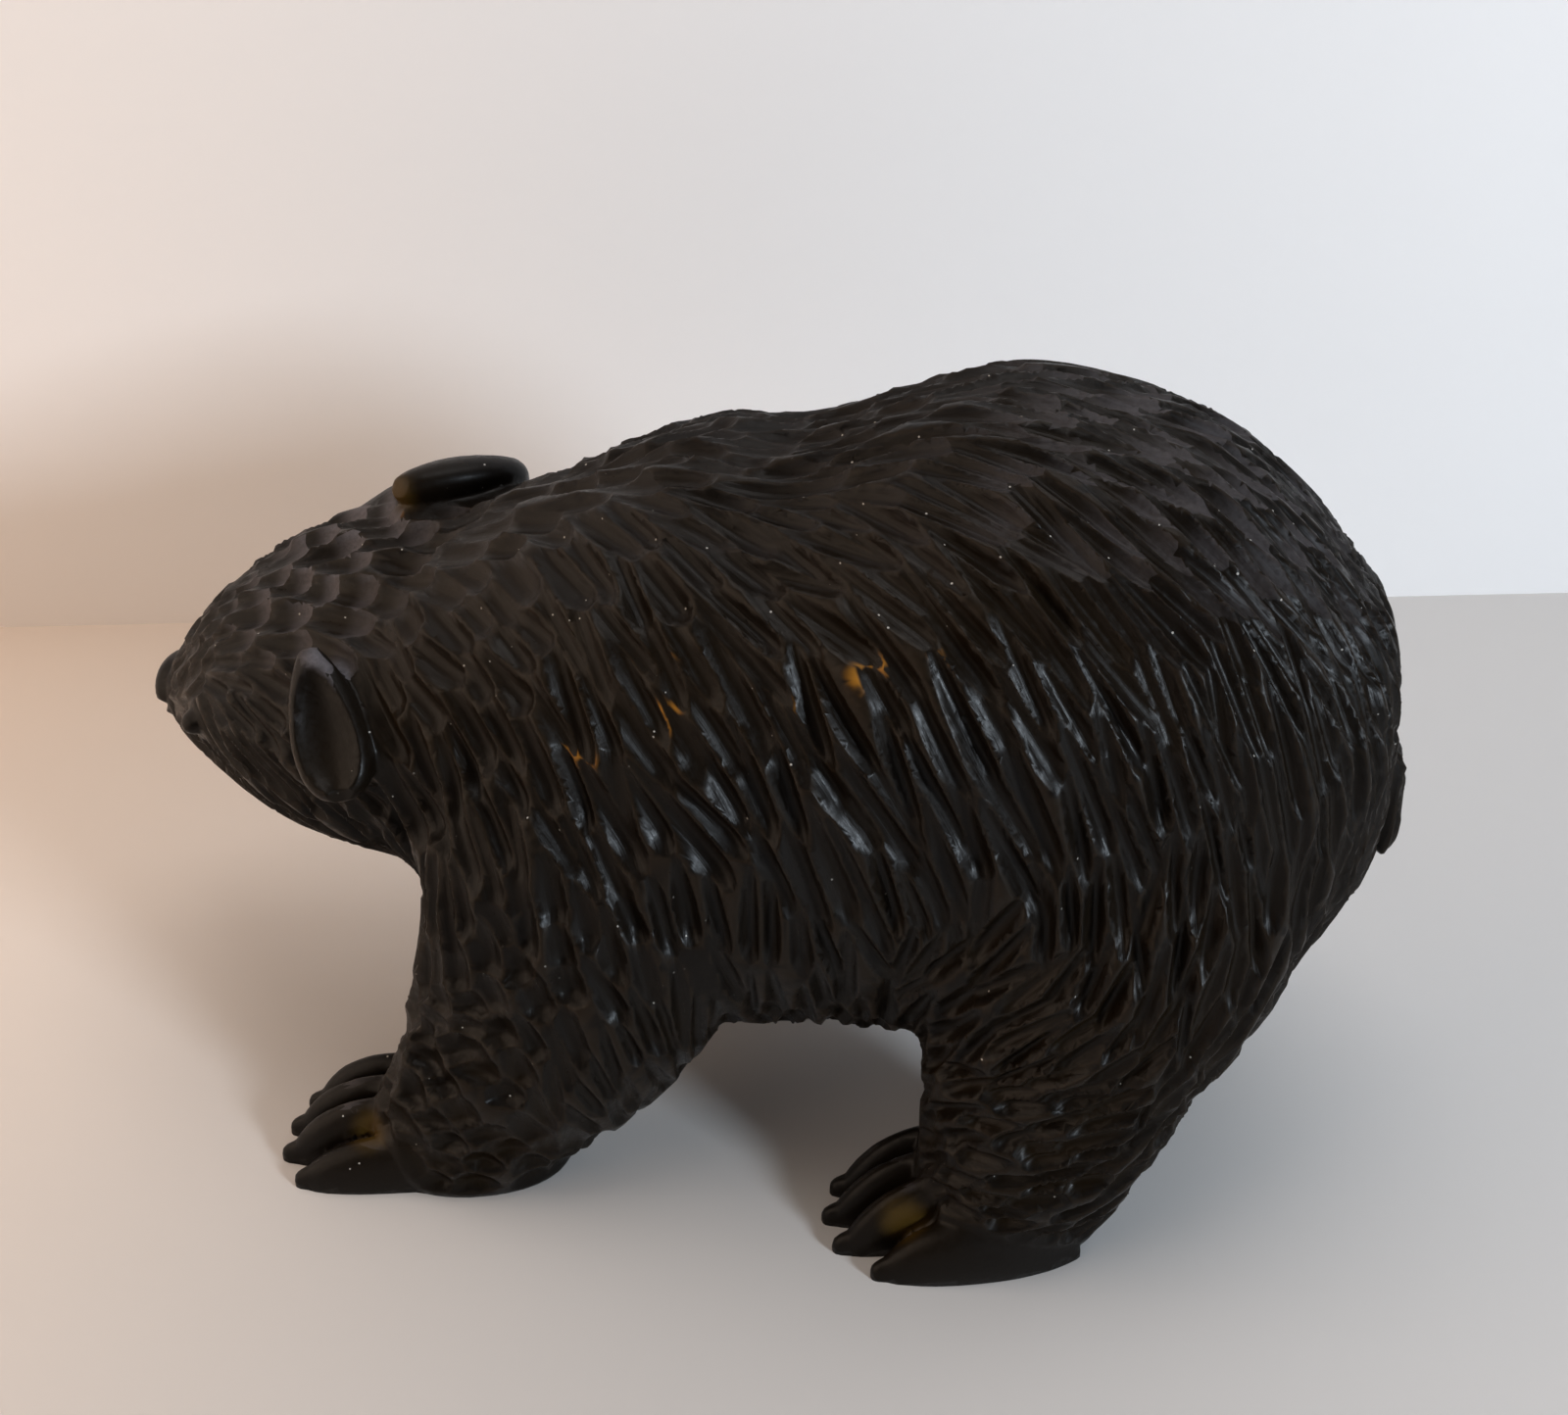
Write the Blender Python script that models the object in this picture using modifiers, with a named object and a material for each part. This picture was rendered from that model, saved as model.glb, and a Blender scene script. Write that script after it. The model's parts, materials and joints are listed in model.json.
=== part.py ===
"""A carved wooden bear on all fours, its head lowered: one solid, cut all over with a gouge.

Metres, +Z up. The bear faces -X, its left side is -Y, and it stands on z = 0 with the origin
under the middle of its length and width. Free forms keep the bear's pose and proportions in
shares of its length: a number given "in steps" counts the 184 equal steps of that length.
"""

import math

import bmesh
import bpy
import numpy as np
from mathutils import Matrix, Vector
from mathutils.bvhtree import BVHTree
from mathutils.kdtree import KDTree

# Driving dimensions

LENGTH = 0.184
STEP = LENGTH / 184
FOOT_WIDTH = 0.0172
TOE_LENGTH = 0.0182
CLAW_LENGTH = 0.0028
EAR_LENGTH = 0.0205
EAR_WIDTH = 0.0104
EAR_THICKNESS = 0.0070
EYE_WIDTH = 0.0042
MOUTH_WIDTH = 0.0020
MOUTH_DEPTH = 0.0012
NOSE_WIDTH = 0.0115
TAIL_LENGTH = 0.0185
CUT_DEPTH = 0.0013

# How finely the form is built

FORM_VOXEL = 0.0015
CARVED_VOXEL = 0.0006
TRIANGLES = 9700
SEED = 7
CANDIDATES = 26000
ROUNDING_PASSES = 14
CREASE_PASSES = 2
SECTION_CORNERS = 40
RINGS_BETWEEN = 5
BALL_CORNERS = 28
BALL_RINGS = 18
TAPER_RINGS = 17
TAPER_END = 0.97

# The wood's stain

STAIN = (0.035, 0.028, 0.022, 1.0)
STAIN_ROUGHNESS = 0.42

# Torso stations in steps: place along X, underside, back line, half width

TORSO = (
    (81.4, 63.5, 74.5, 7),
    (79.4, 52, 83.4, 19),
    (74.4, 42, 90.2, 26.5),
    (66.5, 33, 98.3, 32),
    (55.0, 26, 106.6, 36),
    (42.0, 22.5, 110.5, 37.5),
    (30.0, 20.5, 111.8, 37.5),
    (18.0, 19.5, 108.8, 37),
    (8.0, 18.5, 104.3, 36.5),
    (0.0, 17.5, 101.8, 36),
    (-9.0, 17.5, 102.0, 35.5),
    (-18.0, 18, 98.8, 35),
    (-28.0, 22, 93.8, 33),
    (-38.0, 28, 89.6, 30),
    (-48.0, 35, 83, 26),
    (-56.0, 44, 77, 18),
)
TORSO_SQUARENESS = 2.35

# Head: its middle in steps, its turn in degrees, and stations along its own axis in steps:
# distance forward, half width, crown line, jaw line

HEAD_AT = (-50.0, 0.0, 67.0)
HEAD_TURN = 13.0
HEAD_DROP = 17.0
HEAD_TILT = 19.5
HEAD = (
    (-24, 26, 8, -28),
    (-12, 28, 12.5, -28.3),
    (0, 28, 15.5, -28.2),
    (10, 27, 15.8, -26.8),
    (18, 25, 15.6, -24.8),
    (26, 21.5, 13.8, -23),
    (34, 17, 10.2, -20.7),
    (41, 13, 6.3, -18.3),
    (45.5, 10, 3.0, -16),
    (49, 7.5, 0.2, -13.5),
    (51.3, 5.5, -2.2, -11.5),
)
HEAD_SQUARENESS = 2.2

# Places along the head's own axes in steps: forward, across to its right side, up; the nose's and
# an eye's half sizes along them, as shares of their width; the way the nostrils are cut

NOSE_AT = (50.8, 0.0, -5.0)
NOSE_SHAPE = np.array([0.32, 0.5, 0.42])
EYE_AT = (32.0, 16.0, 3.0)
EYE_SHAPE = np.array([0.5, 0.5, 0.42])
NOSTRIL_AT = (54.3, 2.2, -5.5)
NOSTRIL_WAY = (-0.6, 1.0, 0.3)
NOSTRIL_LENGTH = 0.4 * NOSE_WIDTH
NOSTRIL_WIDTH = 0.22 * NOSE_WIDTH
MOUTH = ((51.0, 1.5, -12.0), (47.5, 8.0, -12.5), (41.0, 12.5, -13.5), (33.0, 16.5, -14.0))
NEAR_EAR_AT = (-1.2, -23.6, 9.0)
FAR_EAR_AT = (-1.0, 21.2, 9.7)
FAR_EAR_FOLD = ((19.0, 13.5, 8.6), (3.0, 20.0, 10.2))

# Ears: a leaf's stations (share of length, share of width), how its thickness follows its width,
# its length's and its outer side's directions on the head, how far each front rim stands out in
# degrees, how much wider and thicker the far ear is, which is seen from behind, and each hollow's
# shares of its ear with its slip down the ear. The fold's ends are shares of an ear's thickness

EAR_LEAF = (
    (0.0, 0.25),
    (0.12, 0.52),
    (0.32, 0.82),
    (0.58, 1.0),
    (0.80, 0.94),
    (0.94, 0.66),
    (1.0, 0.25),
)
EAR_THINNING = 0.7
EAR_DOWN = (-0.24, 0.70, -0.66)
EAR_OUT = (0.0, 0.66, 0.74)
NEAR_EAR_LIFT = 24.0
FAR_EAR_LIFT = -12.0
FAR_EAR_SHARE = (1.0, 1.55, 1.2)
NEAR_CUP = ((0.94, 0.94, 1.0), 0.01)
FAR_CUP = ((0.60, 0.90, 1.0), 0.16)
EAR_CUP_OUT = 0.60
FOLD_START = np.array([0.33, 0.28])
FOLD_END = np.array([0.72, 0.56])

# Tail: its root in steps, its lean backwards, and the half sizes of both ends, in shares of its
# length

TAIL_AT = (79.3, 0.0, 67.0)
TAIL_LEAN = 0.16
TAIL_ROOT = np.array([0.27, 0.25])
TAIL_TIP = np.array([0.20, 0.15])

# Legs in steps: height, place along X, distance from the middle plane, half length, half width,
# and the turn outwards in degrees

FRONT_LEG = (
    (70, -18, 19, 20, 14, 0),
    (55, -20, 23, 22.5, 15.5, 0),
    (40, -21.5, 25.5, 22.5, 15, 1),
    (25, -25.5, 27.5, 21.8, 13.5, 3),
    (12, -32.5, 29.2, 19.3, 11.6, 8),
    (3, -37.6, 30.0, 15.0, 10.4, 15),
    (-3, -38.0, 29.6, 12.3, 8.2, 17),
)
REAR_LEG = (
    (80, 48, 14, 16, 13, 0),
    (65, 50, 19, 24, 17.5, 0),
    (45, 47.5, 24, 23, 16.5, 1),
    (28, 43.5, 27, 18.5, 14, 4),
    (14, 41, 28.6, 15.8, 11.8, 12),
    (4, 38.6, 28.4, 14.6, 10.2, 22),
    (-3, 38.2, 28.0, 12.0, 8.0, 26),
)
LEG_SQUARENESS = 2.2
FAR_FRONT_BACK = 10.0
FAR_REAR_BACK = 6.0

# Toes: share of the toe's length, top in steps, half width as a share of the toes' pitch; then the
# claw's, in shares of its own length. All go down below the ground, which cuts them flat

OUTER_TOE = (
    (-0.9, 1.4, 0.14),
    (-0.7, 4.0, 0.38),
    (-0.45, 6.6, 0.60),
    (-0.1, 7.8, 0.70),
    (0.3, 7.8, 0.72),
    (0.6, 7.0, 0.68),
    (0.85, 5.4, 0.56),
    (1.0, 3.8, 0.42),
)
MIDDLE_TOE = (
    (-0.5, 8.5, 0.40),
    (-0.2, 11.2, 0.50),
    (0.2, 11.4, 0.55),
    (0.5, 10.6, 0.56),
    (0.75, 8.6, 0.54),
    (0.9, 6.4, 0.48),
    (1.0, 4.2, 0.38),
)
REAR_OUTER_TOE = (
    (-0.95, 1.4, 0.12),
    (-0.75, 4.0, 0.38),
    (-0.5, 7.2, 0.64),
    (-0.15, 9.2, 0.84),
    (0.25, 9.2, 0.86),
    (0.6, 7.8, 0.74),
    (0.85, 5.8, 0.56),
    (1.0, 4.0, 0.42),
)
REAR_MIDDLE_TOE = (
    (-0.5, 11.0, 0.38),
    (-0.2, 13.6, 0.48),
    (0.2, 13.6, 0.52),
    (0.5, 12.4, 0.53),
    (0.75, 9.8, 0.50),
    (0.9, 7.0, 0.45),
    (1.0, 4.4, 0.37),
)
CLAW = (
    (0.2, 3.2, 0.33),
    (0.6, 2.6, 0.29),
    (0.9, 1.9, 0.21),
    (1.0, 1.2, 0.10),
)
FOOT_PAD = (
    (-0.6, 5.0, 1.5),
    (-0.2, 6.0, 1.7),
    (0.3, 5.6, 1.75),
    (0.65, 4.0, 1.65),
)
TOE_SUNK = 3.0
TOE_FAN = 3.0

# Feet: where the toes spring from along X and their distance from the middle plane in steps, the
# turn outwards in degrees, and each toe's reach from the outer one inwards, as a share

FRONT_FOOT = (-45.6, 30.4, 10.0, (0.82, 0.98, 0.98, 0.90))
REAR_FOOT = (35.0, 31.0, 14.0, (0.74, 1.0, 1.06, 0.98))

# Fur guides in steps: a place on the left side, the way the hair runs there, and the gouge cut:
# its length, width, depth as a share of CUT_DEPTH, and how far apart cuts lie (1 just meets)

GUIDES = (
    ("brow", (-84, 0, 62), (0.7, 0.0, 0.7), 5.0, 3.4, 0.6, 0.9),
    ("crown", (-66, -4, 82), (0.95, -0.15, 0.25), 7.0, 4.4, 0.8, 0.9),
    ("cheek_front", (-80, -13, 50), (0.8, -0.2, -0.5), 11, 2.6, 0.8, 1.0),
    ("cheek", (-64, -25, 48), (0.75, -0.1, -0.65), 12, 2.7, 0.9, 1.0),
    ("jaw", (-66, -8, 34), (0.95, 0.0, -0.15), 9, 3.0, 0.5, 1.1),
    ("chest", (-50, 0, 28), (0.3, 0.0, -0.95), 9, 4.0, 0.6, 1.1),
    ("nape", (-42, -4, 90), (0.97, -0.12, 0.15), 8.5, 4.6, 0.85, 0.9),
    ("neck_top", (-38, -20, 82), (0.75, -0.42, -0.5), 9.5, 4.4, 0.95, 0.9),
    ("neck", (-38, -31, 62), (0.5, -0.1, -0.86), 12, 3.8, 1.05, 0.9),
    ("neck_low", (-44, -29, 42), (0.1, 0.0, -1.0), 11, 3.2, 0.9, 1.0),
    ("withers", (-10, -3, 103), (0.99, -0.12, 0.0), 10, 3.8, 0.8, 0.9),
    ("shoulder_top", (-12, -26, 92), (0.72, -0.4, -0.56), 11, 4.0, 0.95, 0.9),
    ("shoulder", (-15, -36, 70), (0.42, 0.0, -0.9), 13, 3.7, 1.1, 0.9),
    ("shoulder_high", (-10, -34, 82), (0.5, -0.1, -0.86), 12, 3.9, 1.05, 0.9),
    ("waist", (9, -4, 104), (0.99, 0.03, 0.1), 11, 3.2, 0.8, 0.9),
    ("waist_side", (10, -27, 95), (0.86, -0.35, -0.3), 12, 3.2, 1.0, 0.9),
    ("flank", (10, -37, 70), (0.34, 0.0, -0.94), 15, 3.7, 1.25, 0.9),
    ("flank_high", (14, -35, 85), (0.45, -0.1, -0.88), 14, 3.6, 1.1, 0.9),
    ("lower_flank", (2, -36, 42), (0.05, 0.0, -1.0), 12, 2.4, 0.7, 1.6),
    ("belly_edge", (8, -29, 25), (0.05, 0.3, -1.0), 8, 3.6, 0.8, 1.0),
    ("belly", (8, 0, 19), (1.0, 0.0, 0.0), 13, 6.0, 0.4, 1.1),
    ("rump_top", (34, -5, 112), (0.98, -0.15, 0.0), 13, 2.9, 0.8, 0.9),
    ("rump_edge", (34, -24, 103), (0.85, -0.42, -0.3), 14, 2.9, 0.9, 0.9),
    ("rump_side", (38, -37, 78), (0.4, 0.0, -0.91), 16, 3.5, 1.2, 0.9),
    ("rump_high", (38, -34, 91), (0.52, -0.2, -0.82), 15, 3.1, 1.0, 0.9),
    ("rump_back", (66, -6, 98), (0.68, -0.12, -0.72), 13, 2.6, 0.7, 0.9),
    ("rump_turn", (63, -29, 84), (0.5, -0.2, -0.85), 14, 2.6, 0.9, 0.9),
    ("rump_rear", (80, -8, 74), (0.0, -0.1, -1.0), 11, 2.6, 0.7, 0.9),
    ("buttock", (73, -24, 56), (-0.2, 0.0, -1.0), 12, 2.7, 0.8, 1.0),
    ("haunch", (52, -37, 62), (0.1, 0.0, -1.0), 13, 3.0, 1.1, 0.9),
    ("haunch_low", (42, -38, 46), (-0.65, 0.0, -0.75), 12, 3.0, 1.2, 1.0),
    ("rear_leg", (42, -39, 30), (-0.93, 0.0, -0.38), 8, 3.2, 1.1, 1.3),
    ("rear_leg_back", (62, -30, 32), (-0.45, 0.0, -0.9), 9, 2.8, 0.7, 1.1),
    ("rear_ankle", (40, -40, 14), (-0.97, 0.0, -0.2), 7, 3.0, 0.7, 1.5),
    ("front_leg_top", (-28, -38, 46), (0.1, 0.0, -1.0), 9, 3.6, 0.8, 1.1),
    ("front_leg", (-36, -39, 30), (0.15, 0.0, -1.0), 5, 6.5, 0.9, 1.1),
    ("front_leg_back", (-14, -37, 26), (0.3, 0.0, -0.95), 9, 3.0, 0.5, 1.4),
    ("front_ankle", (-34, -40, 12), (0.1, 0.0, -1.0), 6, 5.0, 0.4, 1.4),
    ("inner_front", (-34, -16, 20), (0.2, 0.0, -1.0), 10, 5.0, 0.35, 1.4),
    ("inner_rear", (46, -16, 22), (-0.3, 0.0, -0.95), 10, 5.0, 0.35, 1.4),
)
GUIDE_SOFTNESS = 6.0
SMOOTH_MARGIN = 0.0008
FUR_FADE = 0.0018
CUT_DEEPEST_AT = 0.74
CUT_RUN_IN = 1.5
CUT_RUN_OUT = 2.2
CUT_VARIATION = 0.22
CUT_TURN = 0.12
SAME_SIDE = 0.35
CARVED_FROM = 0.3
ALONG_GAP = 0.5
ACROSS_GAP = 0.8
STROKE_OVERLAP = 1.5


def clear_scene():
    """Remove every object, so that the model starts from nothing."""
    for obj in list(bpy.data.objects):
        bpy.data.objects.remove(obj, do_unlink=True)


def unit(vector):
    """The vector at length one."""
    return np.asarray(vector, float) / np.linalg.norm(vector)


def section(squareness):
    """Points of a rounded square of half width one, as an array of (across, up)."""
    turn = np.linspace(0.0, 2.0 * math.pi, SECTION_CORNERS, endpoint=False)
    across, up = np.cos(turn), np.sin(turn)
    bend = 2.0 / squareness
    return np.stack(
        [np.sign(across) * np.abs(across) ** bend, np.sign(up) * np.abs(up) ** bend], axis=1
    )


def rounded(stations):
    """The stations with more between them, on a smooth curve through each of their values."""
    rows = np.array(stations, float)
    padded = np.vstack([2 * rows[0] - rows[1], rows, 2 * rows[-1] - rows[-2]])
    before, here, there, after = padded[:-3], padded[1:-2], padded[2:-1], padded[3:]
    between = []
    for share in np.linspace(0.0, 1.0, RINGS_BETWEEN, endpoint=False):
        between.append(
            here + 0.5 * share * (there - before)
            + share**2 * (before - 2.5 * here + 2.0 * there - 0.5 * after)
            + share**3 * 0.5 * (after - before + 3.0 * (here - there))
        )
    return np.vstack([np.stack(between, axis=1).reshape(-1, rows.shape[1]), rows[-1:]])


def ring(centre, half_across, half_up, across, up, squareness=2.0):
    """One section of a form: points round its centre, in the units of the centre and halves."""
    outline = section(squareness)
    return (
        np.asarray(centre, float)
        + outline[:, :1] * half_across * np.asarray(across, float)
        + outline[:, 1:] * half_up * np.asarray(up, float)
    )


def loft(name, rings):
    """A closed form through rings of points in metres."""
    form = bmesh.new()
    corners = [[form.verts.new(Vector(point)) for point in points] for points in rings]
    for here, there in zip(corners, corners[1:]):
        for i, corner in enumerate(here):
            j = (i + 1) % len(here)
            form.faces.new((corner, here[j], there[j], there[i]))
    form.faces.new(list(reversed(corners[0])))
    form.faces.new(corners[-1])
    bmesh.ops.recalc_face_normals(form, faces=form.faces)
    return object_of(name, form)


def ellipsoid(name, centre, radii, axes=None):
    """An ellipsoid in metres whose three radii lie along the three given axes."""
    form = bmesh.new()
    bmesh.ops.create_uvsphere(form, u_segments=BALL_CORNERS, v_segments=BALL_RINGS, radius=1.0)
    size = Matrix.Diagonal((*radii, 1.0))
    turn = Matrix.Identity(4) if axes is None else axes_matrix(*axes)
    bmesh.ops.transform(form, matrix=Matrix.Translation(Vector(centre)) @ turn @ size,
                        verts=form.verts)
    bmesh.ops.recalc_face_normals(form, faces=form.faces)
    return object_of(name, form)


def taper(name, start, end, start_radii, end_radii, up):
    """A round-ended form from start to end in metres, each end with its (half width, half height)."""
    start, end = np.asarray(start, float), np.asarray(end, float)
    along = unit(end - start)
    across = unit(np.cross(along, up))
    upward = np.cross(across, along)
    rings = []
    for turn in np.linspace(-TAPER_END, TAPER_END, TAPER_RINGS):
        reach = math.sin(turn * math.pi / 2.0)
        share = (1.0 + reach) / 2.0
        swell = math.sqrt(1.0 - reach**4)
        half_across = (start_radii[0] * (1.0 - share) + end_radii[0] * share) * swell
        half_up = (start_radii[1] * (1.0 - share) + end_radii[1] * share) * swell
        rings.append(ring(start + (end - start) * share, half_across, half_up, across, upward))
    return loft(name, rings)


def axes_matrix(first, second, third):
    """A rotation that turns X, Y and Z to the three axes."""
    return Matrix((first, second, third)).transposed().to_4x4()


def object_of(name, form):
    """A new object in the scene that holds the form, which is then freed."""
    mesh = bpy.data.meshes.new(name)
    form.to_mesh(mesh)
    form.free()
    obj = bpy.data.objects.new(name, mesh)
    bpy.context.scene.collection.objects.link(obj)
    return obj


def head_axes():
    """The head's forward, across (to its right side) and up directions."""
    turn, drop, tilt = (math.radians(v) for v in (HEAD_TURN, HEAD_DROP, HEAD_TILT))
    forward = np.array(
        [-math.cos(turn) * math.cos(drop), math.sin(turn) * math.cos(drop), -math.sin(drop)]
    )
    level = np.array([math.sin(turn), math.cos(turn), 0.0])
    upright = np.cross(forward, level)
    upright = upright if upright[2] > 0.0 else -upright
    across = math.cos(tilt) * level + math.sin(tilt) * upright
    return forward, across, math.cos(tilt) * upright - math.sin(tilt) * level


def head_point(forward, across, up):
    """A place in metres from its distances in steps along the head's own axes."""
    ahead, side, upright = head_axes()
    middle = np.asarray(HEAD_AT, float)
    return (middle + forward * ahead + across * side + up * upright) * STEP


def torso():
    """The barrel of the body from rump to neck."""
    rings = [
        STEP * ring((x, 0.0, (top + bottom) / 2.0), half, (top - bottom) / 2.0,
                    (0, 1, 0), (0, 0, 1), TORSO_SQUARENESS)
        for x, bottom, top, half in rounded(TORSO)
    ]
    return loft("torso", rings)


def head():
    """The skull and its short muzzle."""
    forward, across, up = head_axes()
    rings = [
        STEP * ring(np.asarray(HEAD_AT, float) + forward * ahead + up * (crown + jaw) / 2.0,
                    half, (crown - jaw) / 2.0, across, up, HEAD_SQUARENESS)
        for ahead, half, crown, jaw in rounded(HEAD)
    ]
    return loft("head", rings)


def turned_out(side, turn):
    """The forward and outward directions of a foot turned outwards by some degrees."""
    angle = math.radians(turn)
    return (
        np.array([-math.cos(angle), side * math.sin(angle), 0.0]),
        np.array([math.sin(angle), side * math.cos(angle), 0.0]),
    )


def leg(name, stations, side, back):
    """A leg on the given side, -1 for the left, moved back by some steps."""
    rings = []
    for height, x, out, half_long, half_wide, turn in rounded(stations):
        forward, outward = turned_out(side, turn)
        rings.append(STEP * ring((x + back, side * out, height), half_long, half_wide,
                                 forward, outward, LEG_SQUARENESS))
    return loft(name, rings)


def limbs():
    """The four legs, down through the ground, which cuts their soles flat."""
    return [
        leg("front_leg", FRONT_LEG, -1, 0.0),
        leg("front_leg", FRONT_LEG, 1, FAR_FRONT_BACK),
        leg("rear_leg", REAR_LEG, -1, 0.0),
        leg("rear_leg", REAR_LEG, 1, FAR_REAR_BACK),
    ]


def toe(start, forward, reach, stations, pitch):
    """A toe with its claw, or the pad under the toes: a low form along the ground."""
    across = np.array([-forward[1], forward[0], 0.0])
    rings = []
    for share, top, half in rounded(stations):
        ahead = reach * min(share, 1.0) + CLAW_LENGTH * max(share - 1.0, 0.0)
        middle, high = (top - TOE_SUNK) / 2.0 * STEP, (top + TOE_SUNK) / 2.0 * STEP
        centre = start + forward * ahead + np.array([0.0, 0.0, middle])
        rings.append(ring(centre, half * pitch, high, across, (0, 0, 1), LEG_SQUARENESS))
    return loft("toe", rings)


def foot(place, outer_toe, middle_toe, side, back):
    """One foot: four toes with claws, side by side on a low pad."""
    spring_at, out, turn, reaches = place
    pitch = FOOT_WIDTH / len(reaches)
    spring = np.array([(spring_at + back) * STEP, side * out * STEP, 0.0])
    forward, outward = turned_out(side, turn)
    claw = tuple((1.0 + share, top, half) for share, top, half in CLAW)
    pieces = [toe(spring, forward, TOE_LENGTH, FOOT_PAD, pitch)]
    for number, reach in enumerate(reaches):
        offset = (len(reaches) - 1) / 2.0 - number
        along = turned_out(side, turn + TOE_FAN * offset)[0]
        stations = (outer_toe if number == 0 else middle_toe) + claw
        pieces.append(toe(spring + outward * offset * pitch, along, TOE_LENGTH * reach, stations,
                          pitch))
    return pieces


def feet():
    """The toes and claws of the four feet."""
    return (
        foot(FRONT_FOOT, OUTER_TOE, MIDDLE_TOE, -1, 0.0)
        + foot(FRONT_FOOT, OUTER_TOE, MIDDLE_TOE, 1, FAR_FRONT_BACK)
        + foot(REAR_FOOT, REAR_OUTER_TOE, REAR_MIDDLE_TOE, -1, 0.0)
        + foot(REAR_FOOT, REAR_OUTER_TOE, REAR_MIDDLE_TOE, 1, FAR_REAR_BACK)
    )


def head_direction(forward, across, up):
    """A direction from its shares along the head's own axes."""
    ahead, side, upright = head_axes()
    return unit(forward * ahead + across * side + up * upright)


def leaf(name, middle, sizes, axes):
    """A leaf-shaped form of a length, width and thickness in metres, along three axes."""
    long_axis, wide_axis, face = axes
    rings = [
        ring(middle + long_axis * (share - 0.5) * sizes[0], sizes[1] / 2.0 * wide,
             sizes[2] / 2.0 * wide**EAR_THINNING, wide_axis, face)
        for share, wide in rounded(EAR_LEAF)
    ]
    return loft(name, rings)


def ear(side, place, lift, share, cup_share, cup_slip):
    """A flap that lies along the head's side, its outer face hollowed like a spoon."""
    long_axis = head_direction(EAR_DOWN[0], side * EAR_DOWN[1], EAR_DOWN[2])
    outward = head_direction(EAR_OUT[0], side * EAR_OUT[1], EAR_OUT[2])
    ahead = unit(np.cross(long_axis, outward))
    ahead = ahead if ahead @ head_direction(1.0, 0.0, 0.0) > 0.0 else -ahead
    wide_axis = math.cos(math.radians(lift)) * ahead + math.sin(math.radians(lift)) * outward
    face = unit(np.cross(long_axis, wide_axis))
    face = face if face @ outward > 0.0 else -face
    axes = (long_axis, wide_axis, face)
    sizes = np.array([EAR_LENGTH, EAR_WIDTH, EAR_THICKNESS]) * share
    middle = head_point(*place)
    flap = leaf("ear", middle, sizes, axes)
    cup_at = middle + EAR_CUP_OUT * sizes[2] * face + cup_slip * sizes[0] * long_axis
    cup = leaf("ear_cup", cup_at, sizes * cup_share, axes)
    hollow = flap.modifiers.new("cup", "BOOLEAN")
    hollow.operation = "DIFFERENCE"
    hollow.object = cup
    apply_modifiers(flap)
    bpy.data.objects.remove(cup, do_unlink=True)
    return flap


def small_forms():
    """Ears with the fold before the far one, eyes and nose."""
    axes = head_axes()
    nose = ellipsoid("nose", head_point(*NOSE_AT), NOSE_WIDTH * NOSE_SHAPE, axes)
    eyes = [
        ellipsoid("eye", head_point(EYE_AT[0], side * EYE_AT[1], EYE_AT[2]), EYE_WIDTH * EYE_SHAPE,
                  axes)
        for side in (-1, 1)
    ]
    fold_start, fold_end = (head_point(*place) for place in FAR_EAR_FOLD)
    return [
        ear(-1, NEAR_EAR_AT, NEAR_EAR_LIFT, 1.0, *NEAR_CUP),
        ear(1, FAR_EAR_AT, FAR_EAR_LIFT, FAR_EAR_SHARE, *FAR_CUP),
        taper("ear_fold", fold_start, fold_end, EAR_THICKNESS * FOLD_START, EAR_THICKNESS * FOLD_END,
              (0, 0, 1)),
        *eyes,
        nose,
    ]


def tail():
    """A short tail that hangs against the rump."""
    root = np.array(TAIL_AT) * STEP
    end = root + np.array([TAIL_LEAN, 0.0, -1.0]) * TAIL_LENGTH
    return taper("tail", root, end, TAIL_LENGTH * TAIL_ROOT, TAIL_LENGTH * TAIL_TIP, (1, 0, 0))


def join(name, pieces):
    """The pieces as one object whose shapes still run through each other."""
    form = bmesh.new()
    for piece in pieces:
        form.from_mesh(piece.data)
        bpy.data.objects.remove(piece, do_unlink=True)
    return object_of(name, form)


def fuse(obj, voxel):
    """Give the object one outer skin."""
    skin = obj.modifiers.new("skin", "REMESH")
    skin.mode = "VOXEL"
    skin.voxel_size = voxel
    apply_modifiers(obj)


def soften(obj, passes):
    """Round the object by some passes of smoothing."""
    rounding = obj.modifiers.new("rounding", "SMOOTH")
    rounding.factor = 0.5
    rounding.iterations = passes
    apply_modifiers(obj)


def apply_modifiers(obj):
    """Replace the object's mesh by what its modifiers make of it."""
    graph = bpy.context.evaluated_depsgraph_get()
    mesh = bpy.data.meshes.new_from_object(obj.evaluated_get(graph))
    obj.modifiers.clear()
    obj.data = mesh


def vertex_arrays(mesh):
    """The mesh's points and their normals, as two arrays."""
    points = np.empty(len(mesh.vertices) * 3)
    normals = np.empty(len(mesh.vertices) * 3)
    mesh.vertices.foreach_get("co", points)
    mesh.vertices.foreach_get("normal", normals)
    return points.reshape(-1, 3), normals.reshape(-1, 3)


def surface_of(pieces):
    """A search tree over the pieces' faces, in metres."""
    corners, faces = [], []
    for piece in pieces:
        start = len(corners)
        corners += [vertex.co.copy() for vertex in piece.data.vertices]
        faces += [[start + i for i in face.vertices] for face in piece.data.polygons]
    return BVHTree.FromPolygons(corners, faces)


def fur_share(points, smooth_surface):
    """How much the gouge cuts at each point: none on toes, ears, eyes and nose, nor by the soles."""
    distance = np.array([smooth_surface.find_nearest(Vector(point))[3] for point in points])
    off_smooth = np.clip((distance - SMOOTH_MARGIN) / FUR_FADE, 0.0, 1.0)
    off_ground = np.clip((points[:, 2] - SMOOTH_MARGIN) / FUR_FADE, 0.0, 1.0)
    return off_smooth * off_ground


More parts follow.
